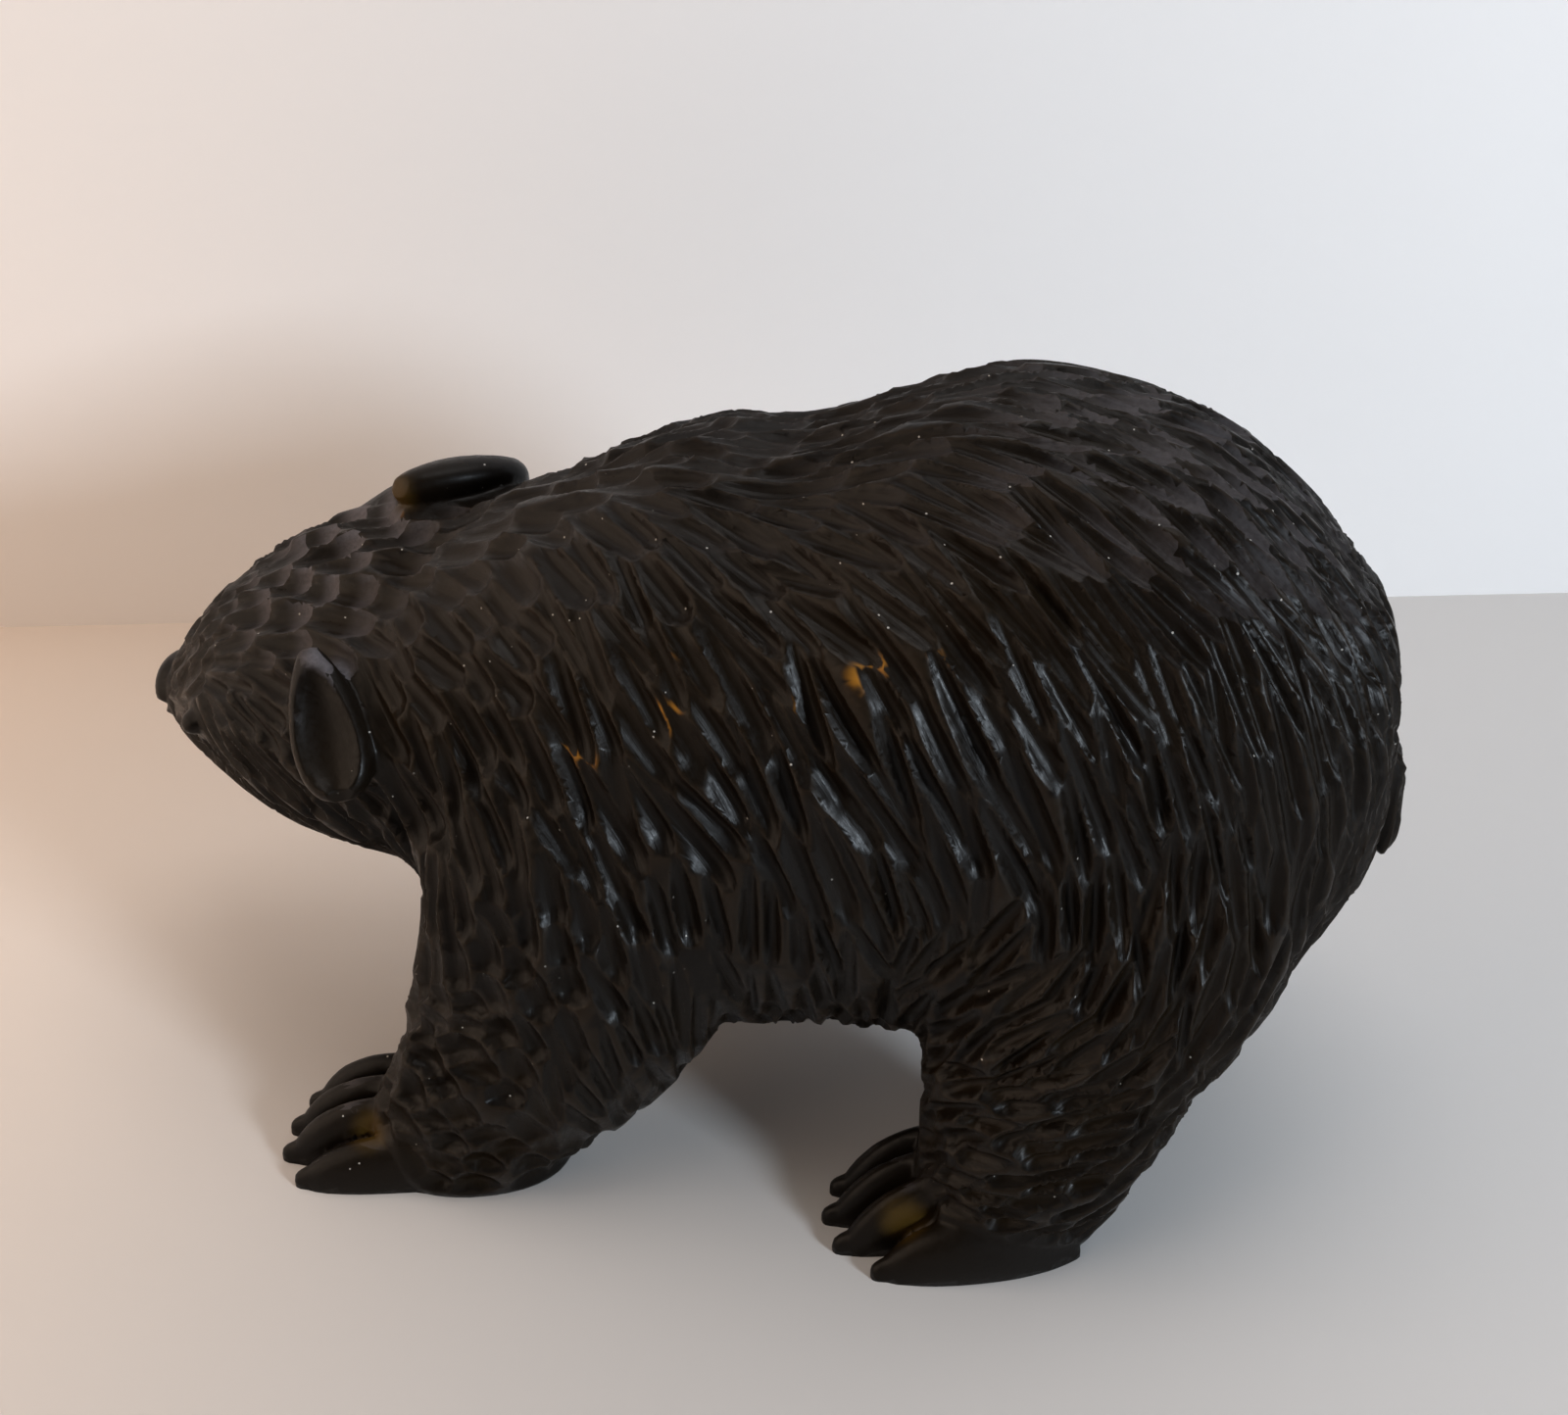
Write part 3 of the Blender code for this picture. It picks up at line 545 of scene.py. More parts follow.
@dataclass(frozen=True)
class Foot:
    """Four toes side by side on a low pad, turned a little outwards, each with a blunt claw.

    Each reach is a toe's length as a share of toe_length, from the outer toe inwards. groove_ends
    are the two ends of the cut between toes: share of the toe's length, and height in metres.
    """

    spring: float
    out: float
    reaches: tuple[float, float, float, float]
    outer: Toe
    middle: Toe
    side: Side
    back: float
    turn: float = 10.0
    fan: float = 3.0
    width: float = 0.0172
    toe_length: float = 0.0182
    claw_length: float = 0.0028
    groove_ends: tuple = ((0.15, 0.008), (0.85, 0.003))
    groove_width: float = 0.0015
    groove_depth: float = 0.0008

    def axes(self, turn: float) -> tuple[np.ndarray, np.ndarray]:
        """The level directions of a foot or a toe.

        Args:
            turn: How far it turns out from straight ahead, in degrees.

        Returns:
            Its forward and its outward direction.
        """
        angle = math.radians(turn)
        forward = np.array([-math.cos(angle), self.side.value * math.sin(angle), 0.0])
        outward = np.array([math.sin(angle), self.side.value * math.cos(angle), 0.0])
        return forward, outward

    def line(self, toe: float) -> tuple[np.ndarray, np.ndarray]:
        """Where a toe springs from, and its direction.

        Args:
            toe: Which toe, counted from the outer one.

        Returns:
            Its place on the ground in metres, and its forward direction.
        """
        middle = (len(self.reaches) - 1) / 2.0
        outward = self.axes(self.turn)[1]
        spring = np.array([(self.spring + self.back) * STEP, self.side.value * self.out * STEP, 0.0])
        start = spring + outward * (middle - toe) * self.width / len(self.reaches)
        return start, self.axes(self.turn + self.fan * (middle - toe))[0]

    def build(self) -> list[bpy.types.Object]:
        """Model the toes and the pad under them.

        Returns:
            The new objects.
        """
        pitch = self.width / len(self.reaches)
        pieces = []
        for toe, reach in enumerate(self.reaches):
            start, along = self.line(toe)
            kind = self.outer if toe == 0 else self.middle
            pieces.append(
                kind.build(start, along, self.toe_length * reach, self.claw_length, pitch)
            )
        start, along = self.line((len(self.reaches) - 1) / 2.0)
        pieces.append(FOOT_PAD.build(start, along, self.toe_length, self.toe_length, pitch))
        return pieces

    def grooves(self) -> list[tuple[np.ndarray, np.ndarray, float, float]]:
        """The narrow cuts between neighbouring toes.

        Returns:
            Rows of start, end, width and depth, in metres.
        """
        lines = []
        for toe in range(len(self.reaches) - 1):
            start, along = self.line(toe + 0.5)
            reach = self.toe_length * min(self.reaches[toe : toe + 2])
            ends = [start + along * share * reach + [0, 0, high] for share, high in self.groove_ends]
            lines.append((*ends, self.groove_width, self.groove_depth))
        return lines


@dataclass(frozen=True)
class Ear:
    """A leaf-shaped flap that lies along the head's side, its outer face hollowed like a spoon."""

    head: Head
    side: Side
    place: tuple[float, float, float]
    length: float = 0.0205
    width: float = 0.0104
    lift: float = 24.0
    thickness: float = 0.0070
    cup_share: tuple[float, float, float] = (0.94, 0.94, 1.0)
    cup_slip: float = 0.01
    cup_out: float = 0.60
    down: tuple[float, float, float] = (-0.24, 0.70, -0.66)
    out: tuple[float, float, float] = (0.0, 0.66, 0.74)
    thinning: float = 0.7
    notch_slip: float = 0.50
    notch_out: float = 0.42
    notch_shape: tuple[float, float, float] = (0.07, 0.12, 0.12)
    leaf: tuple = ((0.0, 0.25), (0.12, 0.52), (0.32, 0.82), (0.58, 1.0), (0.80, 0.94), (0.94, 0.66),
                   (1.0, 0.25))

    def axes(self) -> tuple[np.ndarray, np.ndarray, np.ndarray]:
        """The flap's own directions.

        Returns:
            The directions down its length, across it to its front rim, and out of its face.
        """
        long_axis, outward = (
            self.head.direction(forward, across * self.side.value, up)
            for forward, across, up in (self.down, self.out)
        )
        ahead = unit(np.cross(long_axis, outward))
        ahead = ahead if ahead @ self.head.direction(1.0, 0.0, 0.0) > 0.0 else -ahead
        lift = math.radians(self.lift)
        wide_axis = math.cos(lift) * ahead + math.sin(lift) * outward
        face = unit(np.cross(long_axis, wide_axis))
        return long_axis, wide_axis, face if face @ outward > 0.0 else -face

    def flap(self, name: str, middle: np.ndarray, sizes: tuple[float, float, float]) -> bpy.types.Object:
        """Model a leaf on the ear's own directions.

        Args:
            name: The object's name.
            middle: Its middle in metres.
            sizes: Its length, width and thickness in metres.

        Returns:
            The new object.
        """
        long_axis, wide_axis, face = self.axes()
        outline = section(ROUND, EAR_CORNERS)
        rings = [
            middle + long_axis * (share - 0.5) * sizes[0]
            + outline[:, :1] * sizes[1] / 2.0 * wide * wide_axis
            + outline[:, 1:] * sizes[2] / 2.0 * wide**self.thinning * face
            for share, wide in rounded(self.leaf)
        ]
        return form_through(name, np.array(rings))

    def build(self) -> bpy.types.Object:
        """Model the flap and cut its hollow.

        Returns:
            The new object.
        """
        long_axis, wide_axis, face = self.axes()
        middle = self.head.point(*self.place)
        flap = self.flap("ear", middle, (self.length, self.width, self.thickness))
        cup_at = middle + self.cup_out * self.thickness * face + self.cup_slip * self.length * long_axis
        sizes = np.array([self.length, self.width, self.thickness]) * self.cup_share
        cup = self.flap("ear_cup", cup_at, tuple(sizes))
        notch_at = (middle + self.notch_slip * self.length * long_axis
                    + self.notch_out * self.thickness * face)
        notch = ellipsoid("ear_notch", notch_at, self.length * np.array(self.notch_shape),
                          (long_axis, wide_axis, face))
        for cutter in (cup, notch):
            apply_modifier(flap, "BOOLEAN", operation="DIFFERENCE", object=cutter)
            bpy.data.objects.remove(cutter, do_unlink=True)
        return flap


@dataclass(frozen=True)
class Face:
    """The nose and the eyes, and the lines cut for the mouth and the nostrils."""

    head: Head
    nose_at: tuple[float, float, float] = (50.8, 0.0, -5.0)
    nose_width: float = 0.0115
    nose_shape: tuple[float, float, float] = (0.32, 0.5, 0.42)
    eye_at: tuple[float, float, float] = (32.0, 16.0, 3.0)
    eye_width: float = 0.0042
    eye_shape: tuple[float, float, float] = (0.5, 0.5, 0.42)
    nostril_at: tuple[float, float, float] = (54.3, 2.2, -5.5)
    nostril_way: tuple[float, float, float] = (-0.6, 1.0, 0.3)
    nostril_length: float = 0.4
    nostril_width: float = 0.22
    mouth: tuple = ((51, 1.5, -12.0), (47.5, 8, -12.5), (41, 12.5, -13.5), (33, 16.5, -14.0))
    mouth_width: float = 0.0020
    mouth_depth: float = 0.0012

    def build(self) -> list[bpy.types.Object]:
        """Model the nose and both eyes.

        Returns:
            The new objects.
        """
        axes = self.head.axes()
        nose = ellipsoid(
            "nose", self.head.point(*self.nose_at), self.nose_width * np.array(self.nose_shape), axes
        )
        ahead, out, up = self.eye_at
        eyes = [
            ellipsoid(
                "eye", self.head.point(ahead, side.value * out, up),
                self.eye_width * np.array(self.eye_shape), axes,
            )
            for side in Side
        ]
        return [nose, *eyes]

    def strokes(self) -> list[tuple[np.ndarray, np.ndarray, float, float]]:
        """The narrow cuts of the face.

        Returns:
            Rows of start, end, width and depth, in metres.
        """
        cuts = []
        for side in Side:
            line = [self.head.point(ahead, side.value * out, up) for ahead, out, up in self.mouth]
            cuts += [(a, b, self.mouth_width, self.mouth_depth) for a, b in zip(line, line[1:])]
            ahead, out, up = self.nostril_at
            nostril = self.head.point(ahead, side.value * out, up)
            back, aside, lift = self.nostril_way
            curl = self.head.direction(back, side.value * aside, lift)
            cuts.append(
                (nostril, nostril + self.nostril_length * self.nose_width * curl,
                 self.nostril_width * self.nose_width, self.mouth_depth)
            )
        return cuts


@dataclass(frozen=True)
class Tail:
    """A short tail that hangs against the rump."""

    root: tuple[float, float, float] = (79.3, 0.0, 67.0)
    length: float = 0.0185
    lean: float = 0.16
    root_radii: tuple[float, float] = (0.0050, 0.0046)
    tip_radii: tuple[float, float] = (0.0036, 0.0028)

    def build(self) -> bpy.types.Object:
        """Model the tail.

        Returns:
            The new object.
        """
        root = np.array(self.root) * STEP
        end = root + np.array([self.lean, 0.0, -1.0]) * self.length
        return Taper(root, end, self.root_radii, self.tip_radii, (1.0, 0.0, 0.0)).build("tail")


# The coat


@dataclass(frozen=True)
class HairGuide:
    """How the coat lies at a place on the left side, and the gouge cut used there, in steps.

    depth is a share of the deepest cut. A larger gap sets the cuts further apart.
    """

    name: str
    place: tuple[float, float, float]
    flow: tuple[float, float, float]
    length: float
    width: float
    depth: float
    gap: float


HAIR_GUIDES = tuple(
    HairGuide(*row)
    for row in (
        ("brow", (-84, 0, 62), (0.7, 0.0, 0.7), 7.0, 3.8, 0.6, 0.9),
        ("crown", (-66, -4, 82), (0.95, -0.15, 0.25), 11.5, 6.4, 1.0, 0.85),
        ("cheek_front", (-80, -13, 50), (0.8, -0.2, -0.5), 15, 2.4, 0.7, 0.9),
        ("cheek", (-64, -25, 48), (0.75, -0.1, -0.65), 16, 2.5, 0.75, 0.9),
        ("jaw", (-66, -8, 34), (0.95, 0.0, -0.15), 12, 2.8, 0.5, 1.0),
        ("chest", (-50, 0, 28), (0.3, 0.0, -0.95), 12, 3.8, 0.6, 1.0),
        ("nape", (-42, -4, 90), (0.97, -0.12, 0.15), 13, 6.4, 1.0, 0.85),
        ("neck_top", (-38, -20, 82), (0.75, -0.42, -0.5), 14, 5.8, 1.1, 0.85),
        ("neck", (-38, -31, 62), (0.5, -0.1, -0.86), 17, 4.4, 1.1, 0.85),
        ("neck_low", (-44, -29, 42), (0.1, 0.0, -1.0), 18, 2.8, 0.8, 0.9),
        ("withers", (-10, -3, 103), (0.99, -0.12, 0.0), 15, 4.0, 0.8, 0.85),
        ("shoulder_top", (-12, -26, 92), (0.72, -0.4, -0.56), 16, 4.6, 0.95, 0.85),
        ("shoulder", (-15, -36, 70), (0.42, 0.0, -0.9), 20, 4.3, 1.1, 0.85),
        ("shoulder_high", (-10, -34, 82), (0.5, -0.1, -0.86), 18, 4.5, 1.05, 0.85),
        ("waist", (9, -4, 104), (0.99, 0.05, 0.12), 17, 3.2, 0.75, 0.85),
        ("waist_side", (10, -27, 95), (0.86, -0.35, -0.3), 19, 3.4, 0.9, 0.85),
        ("flank", (10, -37, 70), (0.36, 0.0, -0.93), 25, 4.3, 1.2, 0.85),
        ("flank_high", (14, -35, 85), (0.48, -0.1, -0.87), 22, 4.0, 1.05, 0.85),
        ("lower_flank", (2, -36, 42), (0.05, 0.0, -1.0), 17, 2.5, 0.6, 1.3),
        ("belly_edge", (8, -29, 25), (0.05, 0.3, -1.0), 9, 3.6, 0.8, 0.95),
        ("belly", (8, 0, 19), (1.0, 0.0, 0.0), 13, 6.0, 0.4, 1.1),
        ("rump_top", (34, -5, 112), (0.98, -0.15, 0.0), 19, 2.8, 0.7, 0.85),
        ("rump_edge", (34, -24, 103), (0.85, -0.42, -0.3), 21, 2.8, 0.8, 0.85),
        ("rump_side", (38, -37, 78), (0.4, 0.0, -0.91), 23, 3.8, 1.15, 0.85),
        ("rump_high", (38, -34, 91), (0.52, -0.2, -0.82), 21, 3.2, 0.9, 0.85),
        ("rump_back", (66, -6, 98), (0.68, -0.12, -0.72), 20, 2.4, 0.55, 0.85),
        ("rump_turn", (63, -29, 84), (0.45, -0.2, -0.87), 21, 2.5, 0.75, 0.85),
        ("rump_rear", (80, -8, 74), (0.0, -0.1, -1.0), 17, 2.4, 0.6, 0.85),
        ("buttock", (73, -24, 56), (-0.2, 0.0, -1.0), 18, 2.6, 0.7, 0.9),
        ("haunch", (52, -37, 62), (0.05, 0.0, -1.0), 20, 3.0, 1.05, 0.85),
        ("haunch_low", (42, -38, 46), (-0.65, 0.0, -0.75), 18, 2.9, 1.1, 0.9),
        ("rear_leg", (42, -39, 30), (-0.93, 0.0, -0.38), 11, 3.2, 1.25, 0.95),
        ("rear_leg_back", (62, -30, 32), (-0.45, 0.0, -0.9), 14, 2.6, 0.8, 0.9),
        ("rear_ankle", (40, -40, 14), (-0.97, 0.0, -0.2), 9, 2.8, 0.9, 1.1),
        ("front_leg_top", (-28, -38, 46), (0.1, 0.0, -1.0), 9, 6.0, 1.1, 0.9),
        ("front_leg", (-38, -39, 30), (0.12, 0.0, -1.0), 5.6, 9.0, 1.3, 0.85),
        ("front_leg_back", (-16, -37, 28), (0.3, 0.0, -0.95), 13, 2.6, 0.55, 1.1),
        ("front_ankle", (-38, -40, 13), (0.1, 0.0, -1.0), 5.6, 8.0, 0.9, 0.95),
        ("inner_front", (-34, -16, 20), (0.2, 0.0, -1.0), 10, 5.0, 0.35, 1.4),
        ("inner_rear", (46, -16, 22), (-0.3, 0.0, -0.95), 10, 5.0, 0.35, 1.4),
    )
)


# Where the brown shows through the stain, and where its crests are rubbed to bare wood, in steps:
# a place, and how far it reaches

HANDLED_PLACES = (
    (-24, -28, 80, 17.0), (-8, -30, 84, 15.0), (14, -30, 92, 14.0), (30, -28, 98, 11.0),
    (-40, -26, 72, 13.0), (-50, -36, 8, 9.0), (26, -38, 8, 9.0), (-56, 9, 85, 8.0),
    (-56, -30, 62, 9.0),
)
RUBBED_PLACES = (
    (-13, -31, 83, 3.6), (-6, -28, 89, 3.2), (-18, -33, 75, 4.0), (-7, -31, 79, 2.6),
    (18, -33, 88, 3.4), (26, -32, 93, 2.6), (9, -32, 85, 2.8), (-27, -17, 90, 4.0),
    (-56, 9, 85, 3.4), (-51, -37, 8, 3.4), (25, -38, 7, 3.6), (12, -34, 76, 2.2),
)


@dataclass
class Skin:
    """The bear's fine skin while the gouge works over it."""

    points: np.ndarray
    normals: np.ndarray
    depth: np.ndarray = field(init=False)
    owner: np.ndarray = field(init=False)
    cuts: list[tuple] = field(default_factory=list)

    def __post_init__(self) -> None:
        """Start with nothing cut, and a tree that finds the points near a place."""
        self.depth = np.zeros(len(self.points))
        self.owner = np.full(len(self.points), -1)
        self.tree = point_tree(self.points)

    def cut(self, seed: np.ndarray, normal: np.ndarray, along: np.ndarray, length: float,
            width: float, depth: float, tone: float, deepest_at: float = 0.76) -> None:
        """Make one gouge cut: it runs in shallow, deepens and stops at a round end.

        Args:
            seed: The cut's middle.
            normal: The skin's normal there.
            along: The gouge's direction along the skin.
            length: The cut's length in metres.
            width: Its width in metres.
            depth: Its depth in metres.
            tone: A random number from 0 to 1 that its stain varies by.
            deepest_at: Where along it the cut is deepest, from 0 to 1.
        """
        reach = math.hypot(length, width) / 2.0
        near = np.array([hit[1] for hit in self.tree.find_range(Vector(seed), reach)], int)
        across = np.cross(normal, along)
        apart = self.points[near] - seed
        run = apart @ along / length + 0.5
        side = apart @ across / (width / 2.0)
        before = np.clip((deepest_at - run) / deepest_at, 0.0, None)
        after = np.clip((run - deepest_at) / (1.0 - deepest_at), 0.0, None)
        deep = depth * (1.0 - before**RUN_IN - after**ROUND_END - side**2)
        deep[self.normals[near] @ normal < LEAST_FACING] = 0.0
        deeper = deep > self.depth[near]
        self.depth[near[deeper]] = deep[deeper]
        self.owner[near[deeper]] = len(self.cuts)
        self.cuts.append((seed, along, across, length, width, tone))

    def stroke(self, start: np.ndarray, end: np.ndarray, width: float, depth: float) -> None:
        """Make a narrow cut along the skin.

        Args:
            start: Where it starts, in metres.
            end: Where it ends, in metres.
            width: Its width in metres.
            depth: Its depth in metres.
        """
        index = self.tree.find(Vector((start + end) / 2.0))[1]
        normal = self.normals[index]
        along = end - start
        along = unit(along - normal * (along @ normal))
        length = STROKE_OVERRUN * float(np.linalg.norm(end - start))
        self.cut(self.points[index], normal, along, length, width, depth, 0.5, 0.5)


@dataclass(frozen=True)
class Coat:
    """The gouged coat: where the cuts lie and how they vary."""

    guides: tuple[HairGuide, ...] = HAIR_GUIDES
    deepest: float = 0.0020
    seed: int = 7
    candidates: int = 42000
    softness: float = 6.0
    variation: float = 0.22
    turn: float = 0.12
    smooth_margin: float = 0.0006
    fade: float = 0.0014
    least_share: float = 0.3
    along_spacing: float = 0.56
    across_spacing: float = 0.70

    def share(self, points: np.ndarray, smooth_parts: BVHTree) -> np.ndarray:
        """How much the gouge cuts at each point: none on toes, ears, eyes and nose, nor by the soles.

        Args:
            points: The skin's points in metres.
            smooth_parts: The parts that stay smooth.

        Returns:
            A share from 0 to 1 for each point.
        """
        distance = np.array([smooth_parts.find_nearest(Vector(point))[3] for point in points])
        off_smooth = np.clip((distance - self.smooth_margin) / self.fade, 0.0, 1.0)
        off_ground = np.clip((points[:, 2] - self.smooth_margin) / self.fade, 0.0, 1.0)
        return off_smooth * off_ground

    def lie(self, points: np.ndarray, normals: np.ndarray) -> tuple[np.ndarray, np.ndarray]:
        """How the coat lies, blended between the guides.

        Args:
            points: Places on the skin in metres.
            normals: The skin's normals there.

        Returns:
            The hair's direction at each place, and the cut's length, width, depth and gap.
        """
        places = np.array([guide.place for guide in self.guides], float) * STEP
        flows = np.array([unit(guide.flow) for guide in self.guides])
        sizes = np.array([(g.length, g.width, g.depth, g.gap) for g in self.guides])
        folded = points * (1.0, 0.0, 1.0) - np.abs(points) * (0.0, 1.0, 0.0)
        gaps = ((folded[:, None] - places[None]) ** 2).sum(axis=2)
        weights = 1.0 / (gaps + (self.softness * STEP) ** 2) ** 2
        weights /= weights.sum(axis=1, keepdims=True)
        flow = weights @ flows
        flow[:, 1] *= np.where(points[:, 1] > 0.0, -1.0, 1.0)
        flow -= normals * (flow * normals).sum(axis=1, keepdims=True)
        flow /= np.linalg.norm(flow, axis=1, keepdims=True) + 1e-12
        return flow, weights @ sizes

    def seeds(self, skin: Skin, share: np.ndarray, chance: np.random.Generator) -> tuple:
        """Pick where the cuts lie: points at random, kept where no earlier cut lies too near.

        Args:
            skin: The skin to cut.
            share: How much the gouge cuts at each point.
            chance: The random source.

        Returns:
            The kept points, their normals, the hair's direction and the cut's sizes there.
        """
        picked = chance.permutation(np.flatnonzero(share > self.least_share))[: self.candidates]
        points, normals = skin.points[picked], skin.normals[picked]
        flow, sizes = self.lie(points, normals)
        across = np.cross(normals, flow)
        along_gap = sizes[:, 0] * STEP * self.along_spacing * sizes[:, 3]
        across_gap = sizes[:, 1] * STEP * self.across_spacing * sizes[:, 3]
        kept = np.zeros(len(picked), int)
        count = 0
        for i, point in enumerate(points):
            apart = points[kept[:count]] - point
            near = (apart @ flow[i] / along_gap[i]) ** 2 + (apart @ across[i] / across_gap[i]) ** 2
            level = np.abs(apart @ normals[i]) < along_gap[i]
            if not (level & (near < 1.0)).any():
                kept[count] = i
                count += 1
        kept = kept[:count]
        return points[kept], normals[kept], flow[kept], sizes[kept]

    def carve(self, skin: Skin, share: np.ndarray) -> None:
        """Cut the coat all over, each cut a little unlike the next.

        Args:
            skin: The skin to cut.
            share: How much the gouge cuts at each point.
        """
        chance = np.random.default_rng(self.seed)
        for seed, normal, flow, (length, width, deep, _) in zip(*self.seeds(skin, share, chance)):
            stretch, swell, sink = 1.0 + self.variation * chance.uniform(-1.0, 1.0, 3)
            turn = self.turn * chance.normal()
            along = math.cos(turn) * flow + math.sin(turn) * np.cross(normal, flow)
            skin.cut(seed, normal, along, length * STEP * stretch, width * STEP * swell,
                     deep * self.deepest * sink, chance.random())
        skin.depth *= share
        log.info("coat: %d cuts", len(skin.cuts))


@dataclass(frozen=True)
class Bear:
    """The whole bear: its masses fused, carved, thinned and put in the solid's place."""

    form_voxel: float = 0.0015
    carved_voxel: float = 0.00038
    form_rounding: int = 14
    skin_rounding: int = 3
    rounding_factor: float = 0.5
    triangles: int = 196000
    front_leg: tuple = (
        (70, -18, 19, 20, 14, 0), (55, -20, 23, 22.5, 15.5, 0), (40, -21.5, 25.5, 22.5, 15, 1),
        (25, -25.5, 27.5, 21.8, 13.5, 3), (12, -32.5, 29.2, 19.3, 11.6, 8),
        (3, -37.6, 30.0, 15.0, 10.4, 15), (-3, -38.0, 29.6, 12.3, 8.2, 17),
    )
    rear_leg: tuple = (
        (80, 48, 14, 16, 13, 0), (65, 50, 19, 24, 17.5, 0), (45, 47.5, 24, 23, 16.5, 1),
        (28, 43.5, 27, 18.5, 14, 4), (14, 41, 28.6, 15.8, 11.8, 12), (4, 38.6, 28.4, 14.6, 10.2, 22),
        (-3, 38.2, 28.0, 12.0, 8.0, 26),
    )
    far_front_back: float = 10.0
    far_rear_back: float = 6.0

    def masses(self, head: Head) -> bpy.types.Object:
        """Model the torso, head and legs, fuse them and round the joins.

        Args:
            head: The head.

        Returns:
            The fused form.
        """
        legs = [
            Leg("front_leg", self.front_leg, Side.LEFT, 0.0),
            Leg("front_leg", self.front_leg, Side.RIGHT, self.far_front_back),
            Leg("rear_leg", self.rear_leg, Side.LEFT, 0.0),
            Leg("rear_leg", self.rear_leg, Side.RIGHT, self.far_rear_back),
        ]
        form = join("form", [Torso().build(), head.build(), *(leg.build() for leg in legs)])
        apply_modifier(form, "REMESH", mode="VOXEL", voxel_size=self.form_voxel)
        apply_modifier(form, "SMOOTH", factor=self.rounding_factor, iterations=self.form_rounding)
        return form

    def feet(self) -> list[Foot]:
        """The four feet.

        Returns:
            The feet, front ones first.
        """
        front = (-45.6, 30.4, (0.82, 0.98, 0.98, 0.90), OUTER_TOE, MIDDLE_TOE)
        rear = (35.0, 31.0, (0.74, 1.0, 1.06, 0.98), REAR_OUTER_TOE, REAR_MIDDLE_TOE)
        return [
            Foot(*front, Side.LEFT, 0.0),
            Foot(*front, Side.RIGHT, self.far_front_back),
            Foot(*rear, Side.LEFT, 0.0, turn=14.0),
            Foot(*rear, Side.RIGHT, self.far_rear_back, turn=14.0),
        ]

    def ears(self, head: Head) -> list[bpy.types.Object]:
        """Model both ears. The far one is seen from behind, wider and with a fold before it.

        Args:
            head: The head that they lie on.

        Returns:
            The near ear, the far ear and its fold.
        """
        near = Ear(head, Side.LEFT, (-1.2, -23.6, 9.0))
        far = Ear(head, Side.RIGHT, (-1.0, 21.2, 9.7), width=0.0161, thickness=0.0084, lift=-12.0,
                  cup_share=(0.60, 0.90, 1.0), cup_slip=0.16)
        fold = Taper(head.point(19.0, 13.5, 8.6), head.point(3.0, 20.0, 10.2), (0.0023, 0.0020),
                     (0.0050, 0.0039))
        return [near.build(), far.build(), fold.build("ear_fold")]

    def build(self) -> bpy.types.Object:
        """Model, carve and finish the bear.

        Returns:
            Its object, with its carving's attributes.
        """
        head = Head()
        form = self.masses(head)
        log.info("masses: %d faces", len(form.data.polygons))
        face, feet = Face(head), self.feet()
        smooth = [piece for foot in feet for piece in foot.build()]
        smooth += self.ears(head) + face.build()
        smooth_parts = surface_of(smooth)
        bear = join("bear", [form, *smooth, Tail().build()])
        apply_modifier(bear, "REMESH", mode="VOXEL", voxel_size=self.carved_voxel)
        apply_modifier(bear, "SMOOTH", factor=self.rounding_factor, iterations=self.skin_rounding)
        log.info("skin: %d points", len(bear.data.vertices))
        skin = Skin(read_points(bear), read_normals(bear))
        read_sky = broad_normals(bear)
        share = Coat().share(skin.points, smooth_parts)
        Coat().carve(skin, share)
        grooves = [groove for foot in feet for groove in foot.grooves()]
        for cut in face.strokes() + grooves:
            skin.stroke(*cut)
        write_points(bear, skin.points - skin.normals * skin.depth[:, None])
        marks = Marks.read(bear, skin, share, read_sky)
        self.finish(bear)
        marks.put_on(bear)
        self.place(bear)
        bear.data.shade_smooth()
        return bear

    def finish(self, bear: bpy.types.Object) -> None:
        """Thin the skin to its crests and hollows, and cut the soles flat.

        Args:
            bear: The carved object.
        """
        ratio = self.triangles / (2.0 * len(bear.data.polygons))
        apply_modifier(bear, "DECIMATE", ratio=ratio)
        only(bear)
        bpy.ops.object.mode_set(mode="EDIT")
        bpy.ops.mesh.select_all(action="SELECT")
        bpy.ops.mesh.bisect(plane_co=(0, 0, 0), plane_no=(0, 0, 1), use_fill=True, clear_inner=True)
        bpy.ops.mesh.select_all(action="SELECT")
        bpy.ops.mesh.quads_convert_to_tris()
        bpy.ops.object.mode_set(mode="OBJECT")

    def place(self, bear: bpy.types.Object) -> None:
        """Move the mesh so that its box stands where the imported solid's box stands.

        Args:
            bear: The carved object.
        """
        low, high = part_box(CARVED_NODE)
        points = read_points(bear)
        shift = (np.array(low) + np.array(high) - points.min(axis=0) - points.max(axis=0)) / 2.0
        write_points(bear, points + shift * (1.0, 1.0, 0.0))


def surface_of(pieces: list[bpy.types.Object]) -> BVHTree:
    """A search tree over the faces of several objects, in metres.

    Args:
        pieces: The objects.

    Returns:
        The tree.
    """
    corners, faces = [], []
    for piece in pieces:
        start = len(corners)
        corners += [vertex.co.copy() for vertex in piece.data.vertices]
        faces += [[start + i for i in polygon.vertices] for polygon in piece.data.polygons]
    return BVHTree.FromPolygons(corners, faces)


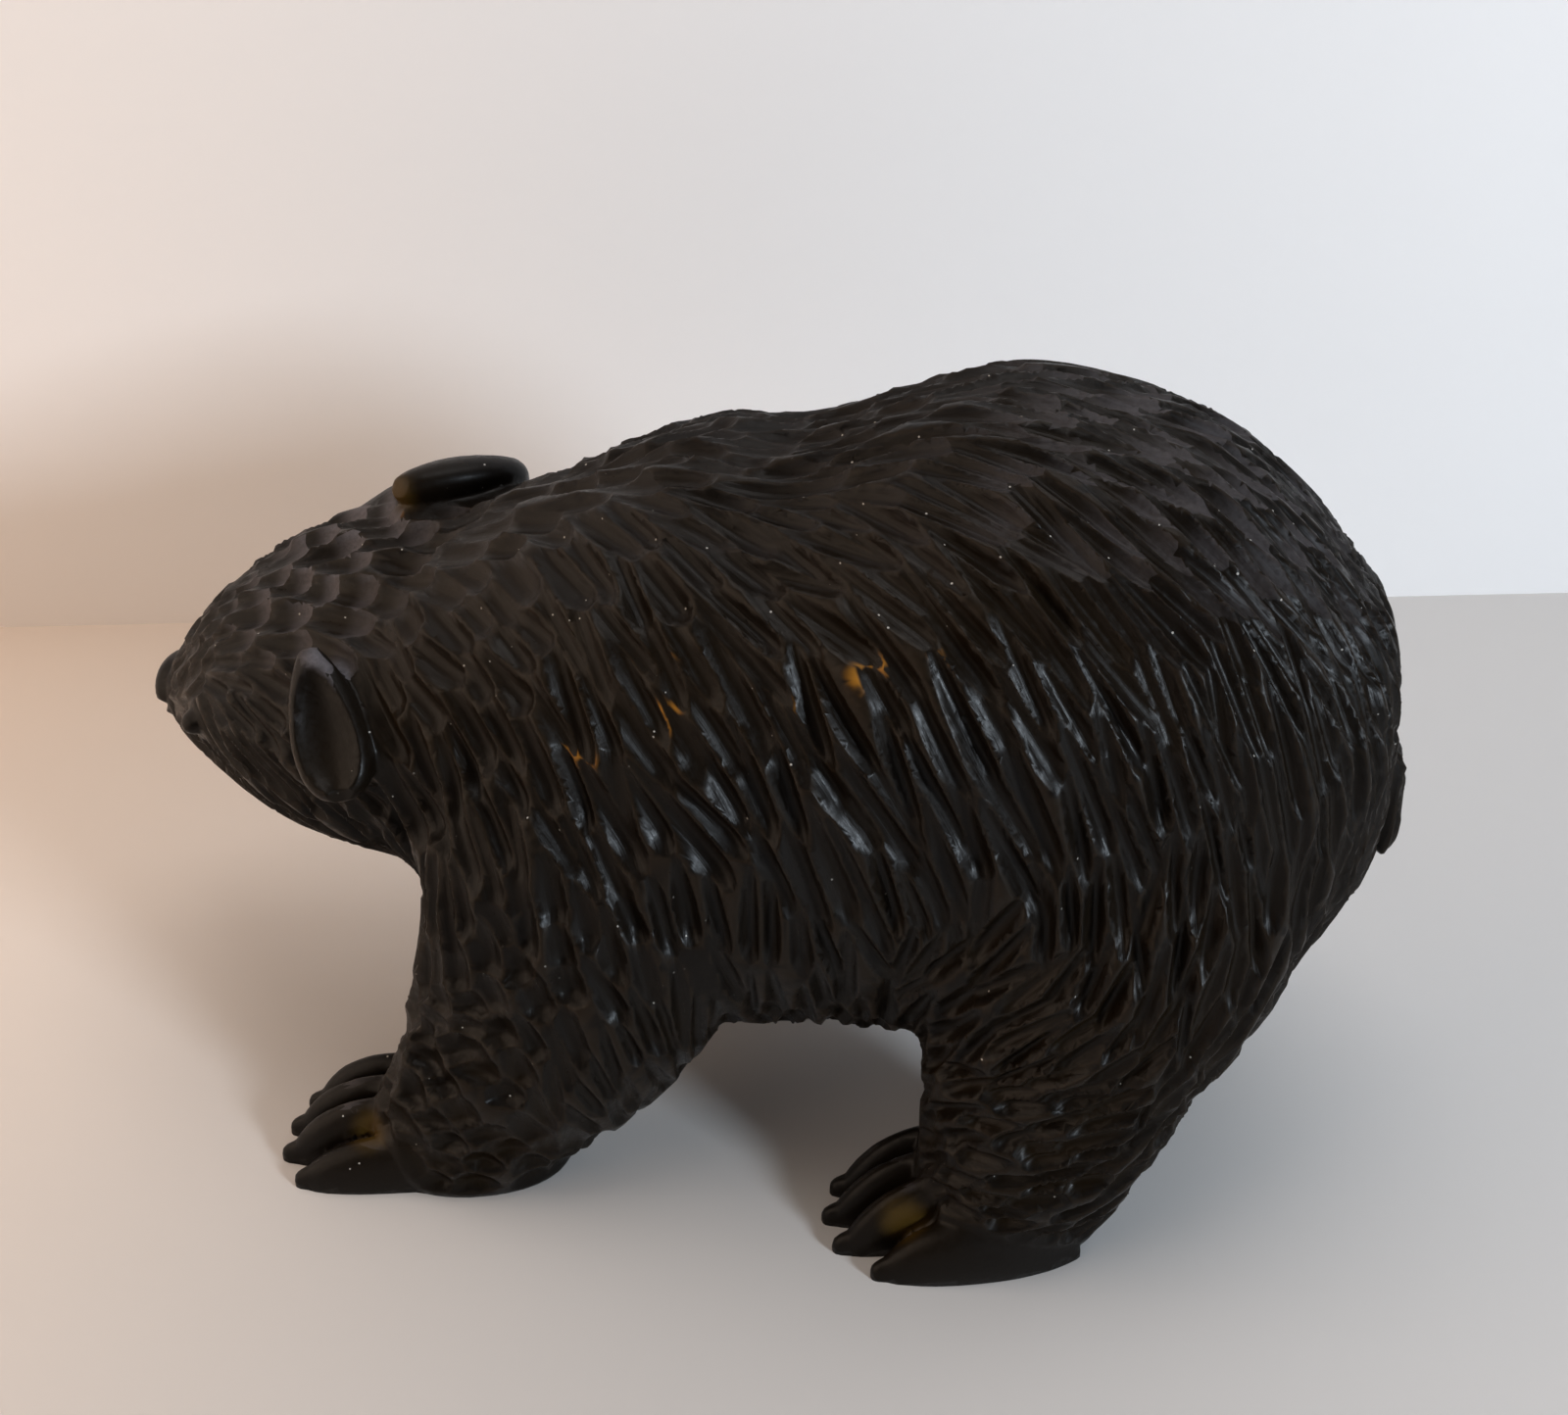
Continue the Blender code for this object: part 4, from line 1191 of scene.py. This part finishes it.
@dataclass
class Marks:
    """What the carving left at each fine point, for the stain and the painted highlights to follow."""

    tree: KDTree
    owner: np.ndarray
    cuts: list[tuple]
    values: dict[str, np.ndarray]

    @classmethod
    def read(cls, bear: bpy.types.Object, skin: Skin, share: np.ndarray,
             broad: np.ndarray) -> "Marks":
        """Read the marks off the freshly carved skin.

        Args:
            bear: The carved object.
            skin: The skin that it was carved by.
            share: How much the gouge cut at each point.
            broad: The form's normals at each point before it was carved.

        Returns:
            The marks, with a tree over the carved points.
        """
        points = read_points(bear)
        edges = edge_pairs(bear)
        normals = read_normals(bear)
        near = spread(points, edges, 1)
        crest = ((points - near) * normals).sum(axis=1)
        rubbing, handled = nearness(points, RUBBED_PLACES), nearness(points, HANDLED_PLACES)
        values = {
            "crest": np.clip(crest / FULL_CREST, -1.0, 1.0),
            "rubbing": rubbing,
            "handled": handled,
            "hollow": np.clip(skin.depth / FULL_HOLLOW, 0.0, 1.0),
            "coat": share,
            "sky": broad[:, 2],
        }
        return cls(point_tree(points), skin.owner, skin.cuts, values)

    def put_on(self, bear: bpy.types.Object) -> None:
        """Put the marks on the thinned mesh as attributes, each from the nearest carved point.

        Args:
            bear: The thinned object.
        """
        mesh = bear.data
        points = read_points(bear)
        nearest = np.array([self.tree.find(Vector(point))[1] for point in points])
        for name, value in self.values.items():
            layer = mesh.attributes.new(name, "FLOAT", "POINT")
            layer.data.foreach_set("value", value[nearest].astype(np.float32))
        centres = read_rows(mesh.polygons, "center")
        loops = read_rows(mesh.loops, "vertex_index", 1, int).ravel()
        sizes = read_rows(mesh.polygons, "loop_total", 1, int).ravel()
        owner = np.array([self.owner[self.tree.find(Vector(centre))[1]] for centre in centres])
        owner = np.repeat(owner, sizes)
        seed, along, across, length, width, tone = (np.array(c) for c in zip(*self.cuts))
        apart = points[loops] - seed[owner]
        stroke = np.stack(
            [
                (apart * across[owner]).sum(axis=1) / (width[owner] / 2.0),
                (apart * along[owner]).sum(axis=1) / length[owner] + 0.5,
                tone[owner],
            ],
            axis=1,
        )
        stroke[owner < 0] = (0.0, 0.5, 0.5)
        layer = mesh.attributes.new("stroke", "FLOAT_VECTOR", "CORNER")
        layer.data.foreach_set("vector", stroke.astype(np.float32).ravel())


def nearness(points: np.ndarray, places: tuple) -> np.ndarray:
    """How near each point is to the nearest of some places.

    Args:
        points: The points in metres.
        places: Rows of a place and its reach, in steps.

    Returns:
        A share for each point, 1 at a place and fading over its reach.
    """
    near = np.zeros(len(points))
    for x, y, z, reach in places:
        apart = np.linalg.norm(points - np.array([x, y, z]) * STEP, axis=1)
        near = np.maximum(near, np.exp(-((apart / (reach * STEP)) ** 2)))
    return near


def edge_pairs(obj: bpy.types.Object) -> np.ndarray:
    """The object's edges as pairs of vertices."""
    return read_rows(obj.data.edges, "vertices", 2, int)


def broad_normals(bear: bpy.types.Object) -> np.ndarray:
    """The form's normals, evened out over a few millimetres."""
    normals = spread(read_normals(bear), edge_pairs(bear), BROAD_PASSES)
    return normals / (np.linalg.norm(normals, axis=1, keepdims=True) + 1e-9)


def spread(values: np.ndarray, edges: np.ndarray, passes: int) -> np.ndarray:
    """Values averaged over each point's neighbours.

    Args:
        values: One row for each point.
        edges: Pairs of neighbouring points.
        passes: How many times to average.

    Returns:
        The averaged rows.
    """
    count = len(values)
    ends = np.concatenate([edges, edges[:, ::-1]])
    degree = np.bincount(ends[:, 0], minlength=count)[:, None]
    for _ in range(passes):
        values = np.stack(
            [np.bincount(ends[:, 0], values[ends[:, 1], axis], count) for axis in range(3)], axis=1
        ) / degree
    return values


# The finishes


@dataclass
class Nodes:
    """A node tree that is built by short calls."""

    tree: bpy.types.NodeTree

    def add(self, kind: str, **settings: object) -> bpy.types.Node:
        """Add a node of one kind, with settings and unlinked inputs by name.

        Args:
            kind: The node's type without its ShaderNode prefix.
            settings: Properties of the node; a name that the node lacks is one of its inputs.

        Returns:
            The new node.
        """
        node = self.tree.nodes.new(kind if kind.startswith("Node") else "ShaderNode" + kind)
        for name, value in settings.items():
            if hasattr(node, name):
                setattr(node, name, value)
            else:
                node.inputs[name.replace("_", " ")].default_value = value
        return node

    def link(self, source: bpy.types.NodeSocket, target: bpy.types.NodeSocket) -> None:
        """Join an output to an input."""
        self.tree.links.new(source, target)

    def attribute(self, name: str) -> bpy.types.NodeSocket:
        """The value of one of the piece's own attributes."""
        return self.add("Attribute", attribute_name=name).outputs["Fac"]

    def math(self, operation: str, *values: object, clamp: bool = False) -> bpy.types.NodeSocket:
        """The result of a calculation on numbers or outputs.

        Args:
            operation: The node's operation.
            values: Numbers or outputs, in order.
            clamp: Whether the result stays from 0 to 1.

        Returns:
            The result's output.
        """
        node = self.add("Math", operation=operation, use_clamp=clamp)
        for socket, value in zip(node.inputs, values):
            if isinstance(value, (int, float)):
                socket.default_value = value
            else:
                self.link(value, socket)
        return node.outputs[0]

    def times(self, *values: object) -> bpy.types.NodeSocket:
        """Numbers or outputs multiplied together, in order.

        Args:
            values: The first one is an output.

        Returns:
            The product's output.
        """
        product = values[0]
        for value in values[1:]:
            product = self.math("MULTIPLY", product, value)
        return product

    def split(self, vector: bpy.types.NodeSocket) -> list[bpy.types.NodeSocket]:
        """The three values of a vector or a colour.

        Args:
            vector: The output to take apart.

        Returns:
            Its three outputs.
        """
        node = self.add("SeparateXYZ")
        self.link(vector, node.inputs[0])
        return list(node.outputs)

    def ramp(self, value: bpy.types.NodeSocket, low: float, high: float,
             out_low: float = 0.0, out_high: float = 1.0) -> bpy.types.NodeSocket:
        """A value stretched smoothly from one range to another.

        Args:
            value: The value's output.
            low: The value that gives out_low.
            high: The value that gives out_high.
            out_low: The result at and below low.
            out_high: The result at and above high.

        Returns:
            The result's output.
        """
        node = self.add("MapRange", interpolation_type="SMOOTHSTEP")
        self.link(value, node.inputs["Value"])
        limits = {"From Min": low, "From Max": high, "To Min": out_low, "To Max": out_high}
        for name, number in limits.items():
            node.inputs[name].default_value = number
        return node.outputs["Result"]

    def mix(self, share: object, first: object, second: object) -> bpy.types.NodeSocket:
        """A colour between two, by a share from 0 to 1.

        Args:
            share: How much of the second there is.
            first: A colour or an output.
            second: A colour or an output.

        Returns:
            The colour's output.
        """
        node = self.add("Mix", data_type="RGBA")
        for socket, value in ((node.inputs[0], share), (node.inputs[6], first), (node.inputs[7], second)):
            if isinstance(value, bpy.types.NodeSocket):
                self.link(value, socket)
            elif isinstance(value, tuple):
                socket.default_value = (*value, 1.0)
            else:
                socket.default_value = value
        return node.outputs[2]

    def noise(self, vector: bpy.types.NodeSocket, scale: float, detail: float = 3.0,
              roughness: float = 0.5) -> bpy.types.NodeSocket:
        """Soft noise over a vector.

        Args:
            vector: The output that gives the place.
            scale: How fine the noise is.
            detail: How many finer layers it has.
            roughness: How strong they are.

        Returns:
            The noise's output.
        """
        node = self.add("TexNoise", Scale=scale, Detail=detail, Roughness=roughness)
        self.link(vector, node.inputs["Vector"])
        return node.outputs["Fac"]


@dataclass(frozen=True)
class StainedWood:
    """Near-black brown stain under a thin wax, worn to bare wood on a few crests.

    A pale grey is painted on the up-facing cuts' ends of the crown and the rump. It is partly wax and
    dust bloom and partly a painted highlight that stands in for the sky's reflection and the window's
    glints. A little dust lies all over.
    """

    stain: tuple[float, float, float] = (0.0042, 0.0029, 0.0020)
    warm: tuple[float, float, float] = (0.0125, 0.0066, 0.0015)
    olive: tuple[float, float, float] = (0.060, 0.034, 0.006)
    worn: tuple[float, float, float] = (0.30, 0.125, 0.014)
    # Lighter brown for crests: part wax worn off the ridges, part painted highlight along the rim lines
    rim_wear_and_highlight: tuple[float, float, float] = (0.021, 0.0135, 0.0075)
    # Pale grey for up-facing cut ends: part wax bloom, part painted sheen of the sky and the window
    bloom_and_sheen_grey: tuple[float, float, float] = (0.125, 0.112, 0.118)
    dust: tuple[float, float, float] = (0.45, 0.42, 0.38)
    roughness: float = 0.37
    bloom_and_sheen_roughness: float = 0.5
    shine: float = 0.11
    wax: float = 0.03
    wax_roughness: float = 0.28
    warm_share: float = 0.6
    handled_share: float = 0.28
    patch_scale: float = 28.0
    cloud_scale: float = 9.0
    grit_scale: float = 1500.0
    rub_scale: float = 120.0
    line_scales: tuple[float, float, float] = (5.0, 1.6, 90.0)
    dust_scale: float = 750.0
    dust_size: float = 0.11
    dust_rarity: float = 0.93
    grit_relief: float = 0.35
    bump_strength: float = 0.6
    bump_height: float = 0.00012

    def build(self) -> bpy.types.Material:
        """Make the material from nodes on object coordinates and on the carving's attributes.

        Returns:
            The new material.
        """
        material = bpy.data.materials.new(SLOT)
        material.use_nodes = True
        nodes = Nodes(material.node_tree)
        surface = material.node_tree.nodes["Principled BSDF"]
        place = nodes.add("TexCoord").outputs["Object"]
        stroke = nodes.add("Attribute", attribute_name="stroke")
        side, run, tone = nodes.split(stroke.outputs["Vector"])
        crest, rubbing, handled, hollow, coat, sky = (
            nodes.attribute(name)
            for name in ("crest", "rubbing", "handled", "hollow", "coat", "sky")
        )

        patches = nodes.noise(place, self.patch_scale, 3.0)
        cloud = nodes.noise(place, self.cloud_scale, 2.0)
        grit = nodes.noise(place, self.grit_scale, 2.0, 0.6)
        warmth = nodes.times(nodes.ramp(cloud, 0.40, 0.66), nodes.ramp(hollow, 0.15, 0.8),
                             nodes.ramp(tone, 0.0, 1.0, 0.35, 1.0), self.warm_share)
        warmth = nodes.math("ADD", warmth, nodes.times(handled, self.handled_share), clamp=True)
        colour = nodes.mix(warmth, self.stain, self.warm)
        # Crests are mixed towards a lighter brown: partly wax worn off the ridges, partly a painted
        # highlight that sharpens the rim lines
        rim_wear_and_highlight_share = nodes.times(nodes.ramp(crest, 0.3, 1.0, 0.0, 0.4), coat)
        colour = nodes.mix(rim_wear_and_highlight_share, colour, self.rim_wear_and_highlight)

        # Painted highlight: up-facing cut ends on the crown and the rump are mixed towards pale grey.
        # This is partly wax and dust bloom and partly painted sky reflection, and the rump share stands
        # in for glints
        upward = nodes.ramp(sky, 0.52, 0.92)
        ends = nodes.ramp(run, 0.50, 0.82)
        ahead = nodes.split(place)[0]
        along = nodes.math("ADD", nodes.ramp(ahead, -0.052, -0.032, 1.0, 0.06),
                           nodes.ramp(ahead, 0.02, 0.06, 0.0, 0.42))
        bloom_and_painted_sheen = nodes.times(upward, ends, nodes.ramp(patches, 0.30, 0.62, 0.45, 1.0),
                           nodes.ramp(grit, 0.3, 0.7, 0.65, 1.0), along)
        colour = nodes.mix(bloom_and_painted_sheen, colour, self.bloom_and_sheen_grey)

        rubbed = nodes.times(nodes.ramp(nodes.noise(place, self.rub_scale, 3.0), 0.50, 0.60),
                             nodes.ramp(crest, 0.35, 0.9), nodes.ramp(rubbing, 0.25, 0.8), coat)
        colour = nodes.mix(rubbed, colour, self.worn)
        bare = nodes.times(nodes.ramp(rubbing, 0.2, 0.9, 0.0, 0.8),
                           nodes.math("SUBTRACT", 1.0, coat))
        colour = nodes.mix(bare, colour, self.olive)

        speck = nodes.add("TexVoronoi", Scale=self.dust_scale, Randomness=1.0)
        nodes.link(place, speck.inputs["Vector"])
        facing = nodes.split(nodes.add("NewGeometry").outputs["Normal"])[2]
        rare = nodes.split(speck.outputs["Color"])[0]
        dot = nodes.times(nodes.math("LESS_THAN", speck.outputs["Distance"], self.dust_size),
                          nodes.math("GREATER_THAN", rare, self.dust_rarity),
                          nodes.ramp(facing, -0.2, 0.5, 0.0, 0.8))
        colour = nodes.mix(dot, colour, self.dust)
        nodes.link(colour, surface.inputs["Base Color"])

        scratch = nodes.add("CombineXYZ")
        for value, scale, socket in zip((side, run, tone), self.line_scales, scratch.inputs):
            nodes.link(nodes.times(value, scale), socket)
        lines = nodes.noise(scratch.outputs[0], 1.0, 3.0, 0.65)
        sheen = nodes.math("ADD", nodes.ramp(grit, 0.25, 0.75, -0.07, 0.07),
                           nodes.ramp(lines, 0.3, 0.7, -0.06, 0.08))
        rough = nodes.math("ADD", sheen, self.roughness)
        rough = nodes.math("ADD", rough, nodes.times(bloom_and_painted_sheen, self.bloom_and_sheen_roughness))
        nodes.link(rough, surface.inputs["Roughness"])

        relief = nodes.math("ADD", nodes.times(lines, coat), nodes.times(grit, self.grit_relief))
        bump = nodes.add("Bump", Strength=self.bump_strength, Distance=self.bump_height)
        nodes.link(relief, bump.inputs["Height"])
        nodes.link(bump.outputs[0], surface.inputs["Normal"])
        surface.inputs["Specular IOR Level"].default_value = self.shine
        surface.inputs["Coat Weight"].default_value = self.wax
        surface.inputs["Coat Roughness"].default_value = self.wax_roughness
        return material


@dataclass(frozen=True)
class PalePaint:
    """A pale matt surface with a faint mottle and painted warm lamp light towards one side, for the table
    and the wall.
    """

    name: str
    left: tuple[float, float, float]
    right: tuple[float, float, float]
    roughness: float = 0.6
    mottle: tuple[float, float, float] = (0.3, 0.29, 0.28)
    mottle_share: float = 0.05
    mottle_scale: float = 3.0
    turns: tuple[float, float] = (-0.22, 0.04)

    def build(self) -> bpy.types.Material:
        """Make the material, warmer and lighter on the bear's head side than on its tail side: painted
        light of the warm lamp on that side.

        Returns:
            The new material.
        """
        material = bpy.data.materials.new(self.name)
        material.use_nodes = True
        nodes = Nodes(material.node_tree)
        surface = material.node_tree.nodes["Principled BSDF"]
        place = nodes.add("TexCoord").outputs["Object"]
        # Painted lamp light: a ramp along X from the lit warm left colour to the plain right one
        colour = nodes.mix(nodes.ramp(nodes.split(place)[0], *self.turns), self.left, self.right)
        clouds = nodes.noise(place, self.mottle_scale, 4.0)
        share = nodes.ramp(clouds, 0.3, 0.7, 0.0, self.mottle_share)
        nodes.link(nodes.mix(share, colour, self.mottle), surface.inputs["Base Color"])
        surface.inputs["Roughness"].default_value = self.roughness
        return material


# The left colours are painted warm lamp light: the table and the wall are lighter and warmer on the
# bear's head side
TABLE_PAINT = PalePaint("table_paint", (0.80, 0.66, 0.55), (0.57, 0.55, 0.535))
WALL_PAINT = PalePaint("wall_paint", (0.95, 0.88, 0.83), (0.88, 0.865, 0.86))

# The lights: name, direction from the bear, distance and side in metres, power in watts, colour

LIGHTS = (
    ("window", (0.80, -0.50, 0.34), 0.85, 0.15, 5.6, (0.78, 0.89, 1.0)),
    ("ceiling", (0.10, 0.05, 1.0), 0.75, 0.5, 2.4, (1.0, 0.97, 0.95)),
    ("lamp", (-0.90, -0.38, 0.30), 0.70, 0.9, 5.0, (1.0, 0.79, 0.62)),
)


@dataclass(frozen=True)
class Studio:
    """The pale table and wall, the soft lights and the camera at the photograph's angle."""

    target: tuple[float, float, float] = (0.0085, 0.0, 0.062)
    azimuth: float = 11.0
    elevation: float = 32.0
    distance: float = 0.270
    lens: float = 45.0
    wall_left: tuple[float, float] = (-0.1792, 0.0972)
    wall_right: tuple[float, float] = (0.1482, 0.1763)
    table_side: float = 4.0
    wall_reach: float = 2.0
    wall_height: float = 2.0
    sensor: float = 36.0
    nearest: float = 0.01
    room_colour: tuple[float, float, float, float] = (0.90, 0.90, 0.93, 1.0)
    room_strength: float = 0.08

    def surfaces(self) -> None:
        """Add the table and the wall behind it."""
        deselect_all()
        bpy.ops.mesh.primitive_plane_add(size=self.table_side, location=(0.0, 0.0, 0.0))
        table = bpy.context.object
        table.name = "table"
        table.data.materials.append(TABLE_PAINT.build())
        left, right = np.array([*self.wall_left, 0.0]), np.array([*self.wall_right, 0.0])
        along = unit(right - left)
        corners = [left - self.wall_reach * along, right + self.wall_reach * along]
        corners += [corner + [0, 0, self.wall_height] for corner in corners]
        deselect_all()
        bpy.ops.mesh.primitive_plane_add(size=1.0)
        wall = bpy.context.object
        wall.name = "wall"
        write_points(wall, np.array(corners))
        wall.data.materials.append(WALL_PAINT.build())

    def light(self, name: str, towards: tuple, distance: float, size: float, power: float,
              colour: tuple[float, float, float]) -> None:
        """Add one soft area light that shines at the bear.

        Args:
            name: The light's name.
            towards: The direction from the bear to the light.
            distance: How far away it is, in metres.
            size: The side of its square, in metres.
            power: Its power in watts.
            colour: Its colour.
        """
        way = Vector(unit(np.array(towards)))
        lamp = bpy.data.lights.new(name, "AREA")
        lamp.shape, lamp.size, lamp.energy, lamp.color = "SQUARE", size, power, colour
        obj = bpy.data.objects.new(name, lamp)
        bpy.context.scene.collection.objects.link(obj)
        obj.location = Vector(self.target) + way * distance
        obj.rotation_mode = "QUATERNION"
        obj.rotation_quaternion = way.to_track_quat("Z", "Y")

    def lights(self) -> None:
        """Add the window's cool light, the room's fill and the warm side light."""
        for row in LIGHTS:
            self.light(*row)
        world = bpy.data.worlds.new("room")
        bpy.context.scene.world = world
        world.use_nodes = True
        back = world.node_tree.nodes["Background"]
        back.inputs["Color"].default_value = self.room_colour
        back.inputs["Strength"].default_value = self.room_strength

    def camera(self) -> None:
        """Add the camera."""
        azimuth, elevation = math.radians(self.azimuth), math.radians(self.elevation)
        back = Vector((
            math.sin(azimuth) * math.cos(elevation),
            -math.cos(azimuth) * math.cos(elevation),
            math.sin(elevation),
        ))
        data = bpy.data.cameras.new("camera")
        data.lens, data.sensor_width = self.lens, self.sensor
        data.clip_start = self.nearest
        obj = bpy.data.objects.new("camera", data)
        bpy.context.scene.collection.objects.link(obj)
        obj.location = Vector(self.target) + back * self.distance
        obj.rotation_mode = "QUATERNION"
        obj.rotation_quaternion = back.to_track_quat("Z", "Y")
        bpy.context.scene.camera = obj

    def build(self) -> None:
        """Set the studio up."""
        self.surfaces()
        self.lights()
        self.camera()
        bpy.context.scene.view_settings.view_transform = "Standard"


def clear_startup() -> None:
    """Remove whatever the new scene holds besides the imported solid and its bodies."""
    kept = set(frame["nodes"].values()) | set(frame["bodies"].values())
    for obj in list(bpy.data.objects):
        if obj not in kept:
            bpy.data.objects.remove(obj, do_unlink=True)


def main() -> None:
    """Build the bear and its studio, and report each piece."""
    logging.basicConfig(level=logging.INFO, format="%(message)s")
    clear_startup()
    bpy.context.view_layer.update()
    bear = Bear().build()
    bear.data.materials.clear()
    bear.data.materials.append(StainedWood().build())
    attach(bear, "root")
    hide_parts(CARVED_NODE)
    log.info("bear: %d triangles", len(bear.data.polygons))
    Studio().build()
    log.info("studio: table, wall, %d lights and a camera", len(LIGHTS))
    bpy.context.view_layer.update()


if __name__ == "__main__":
    main()
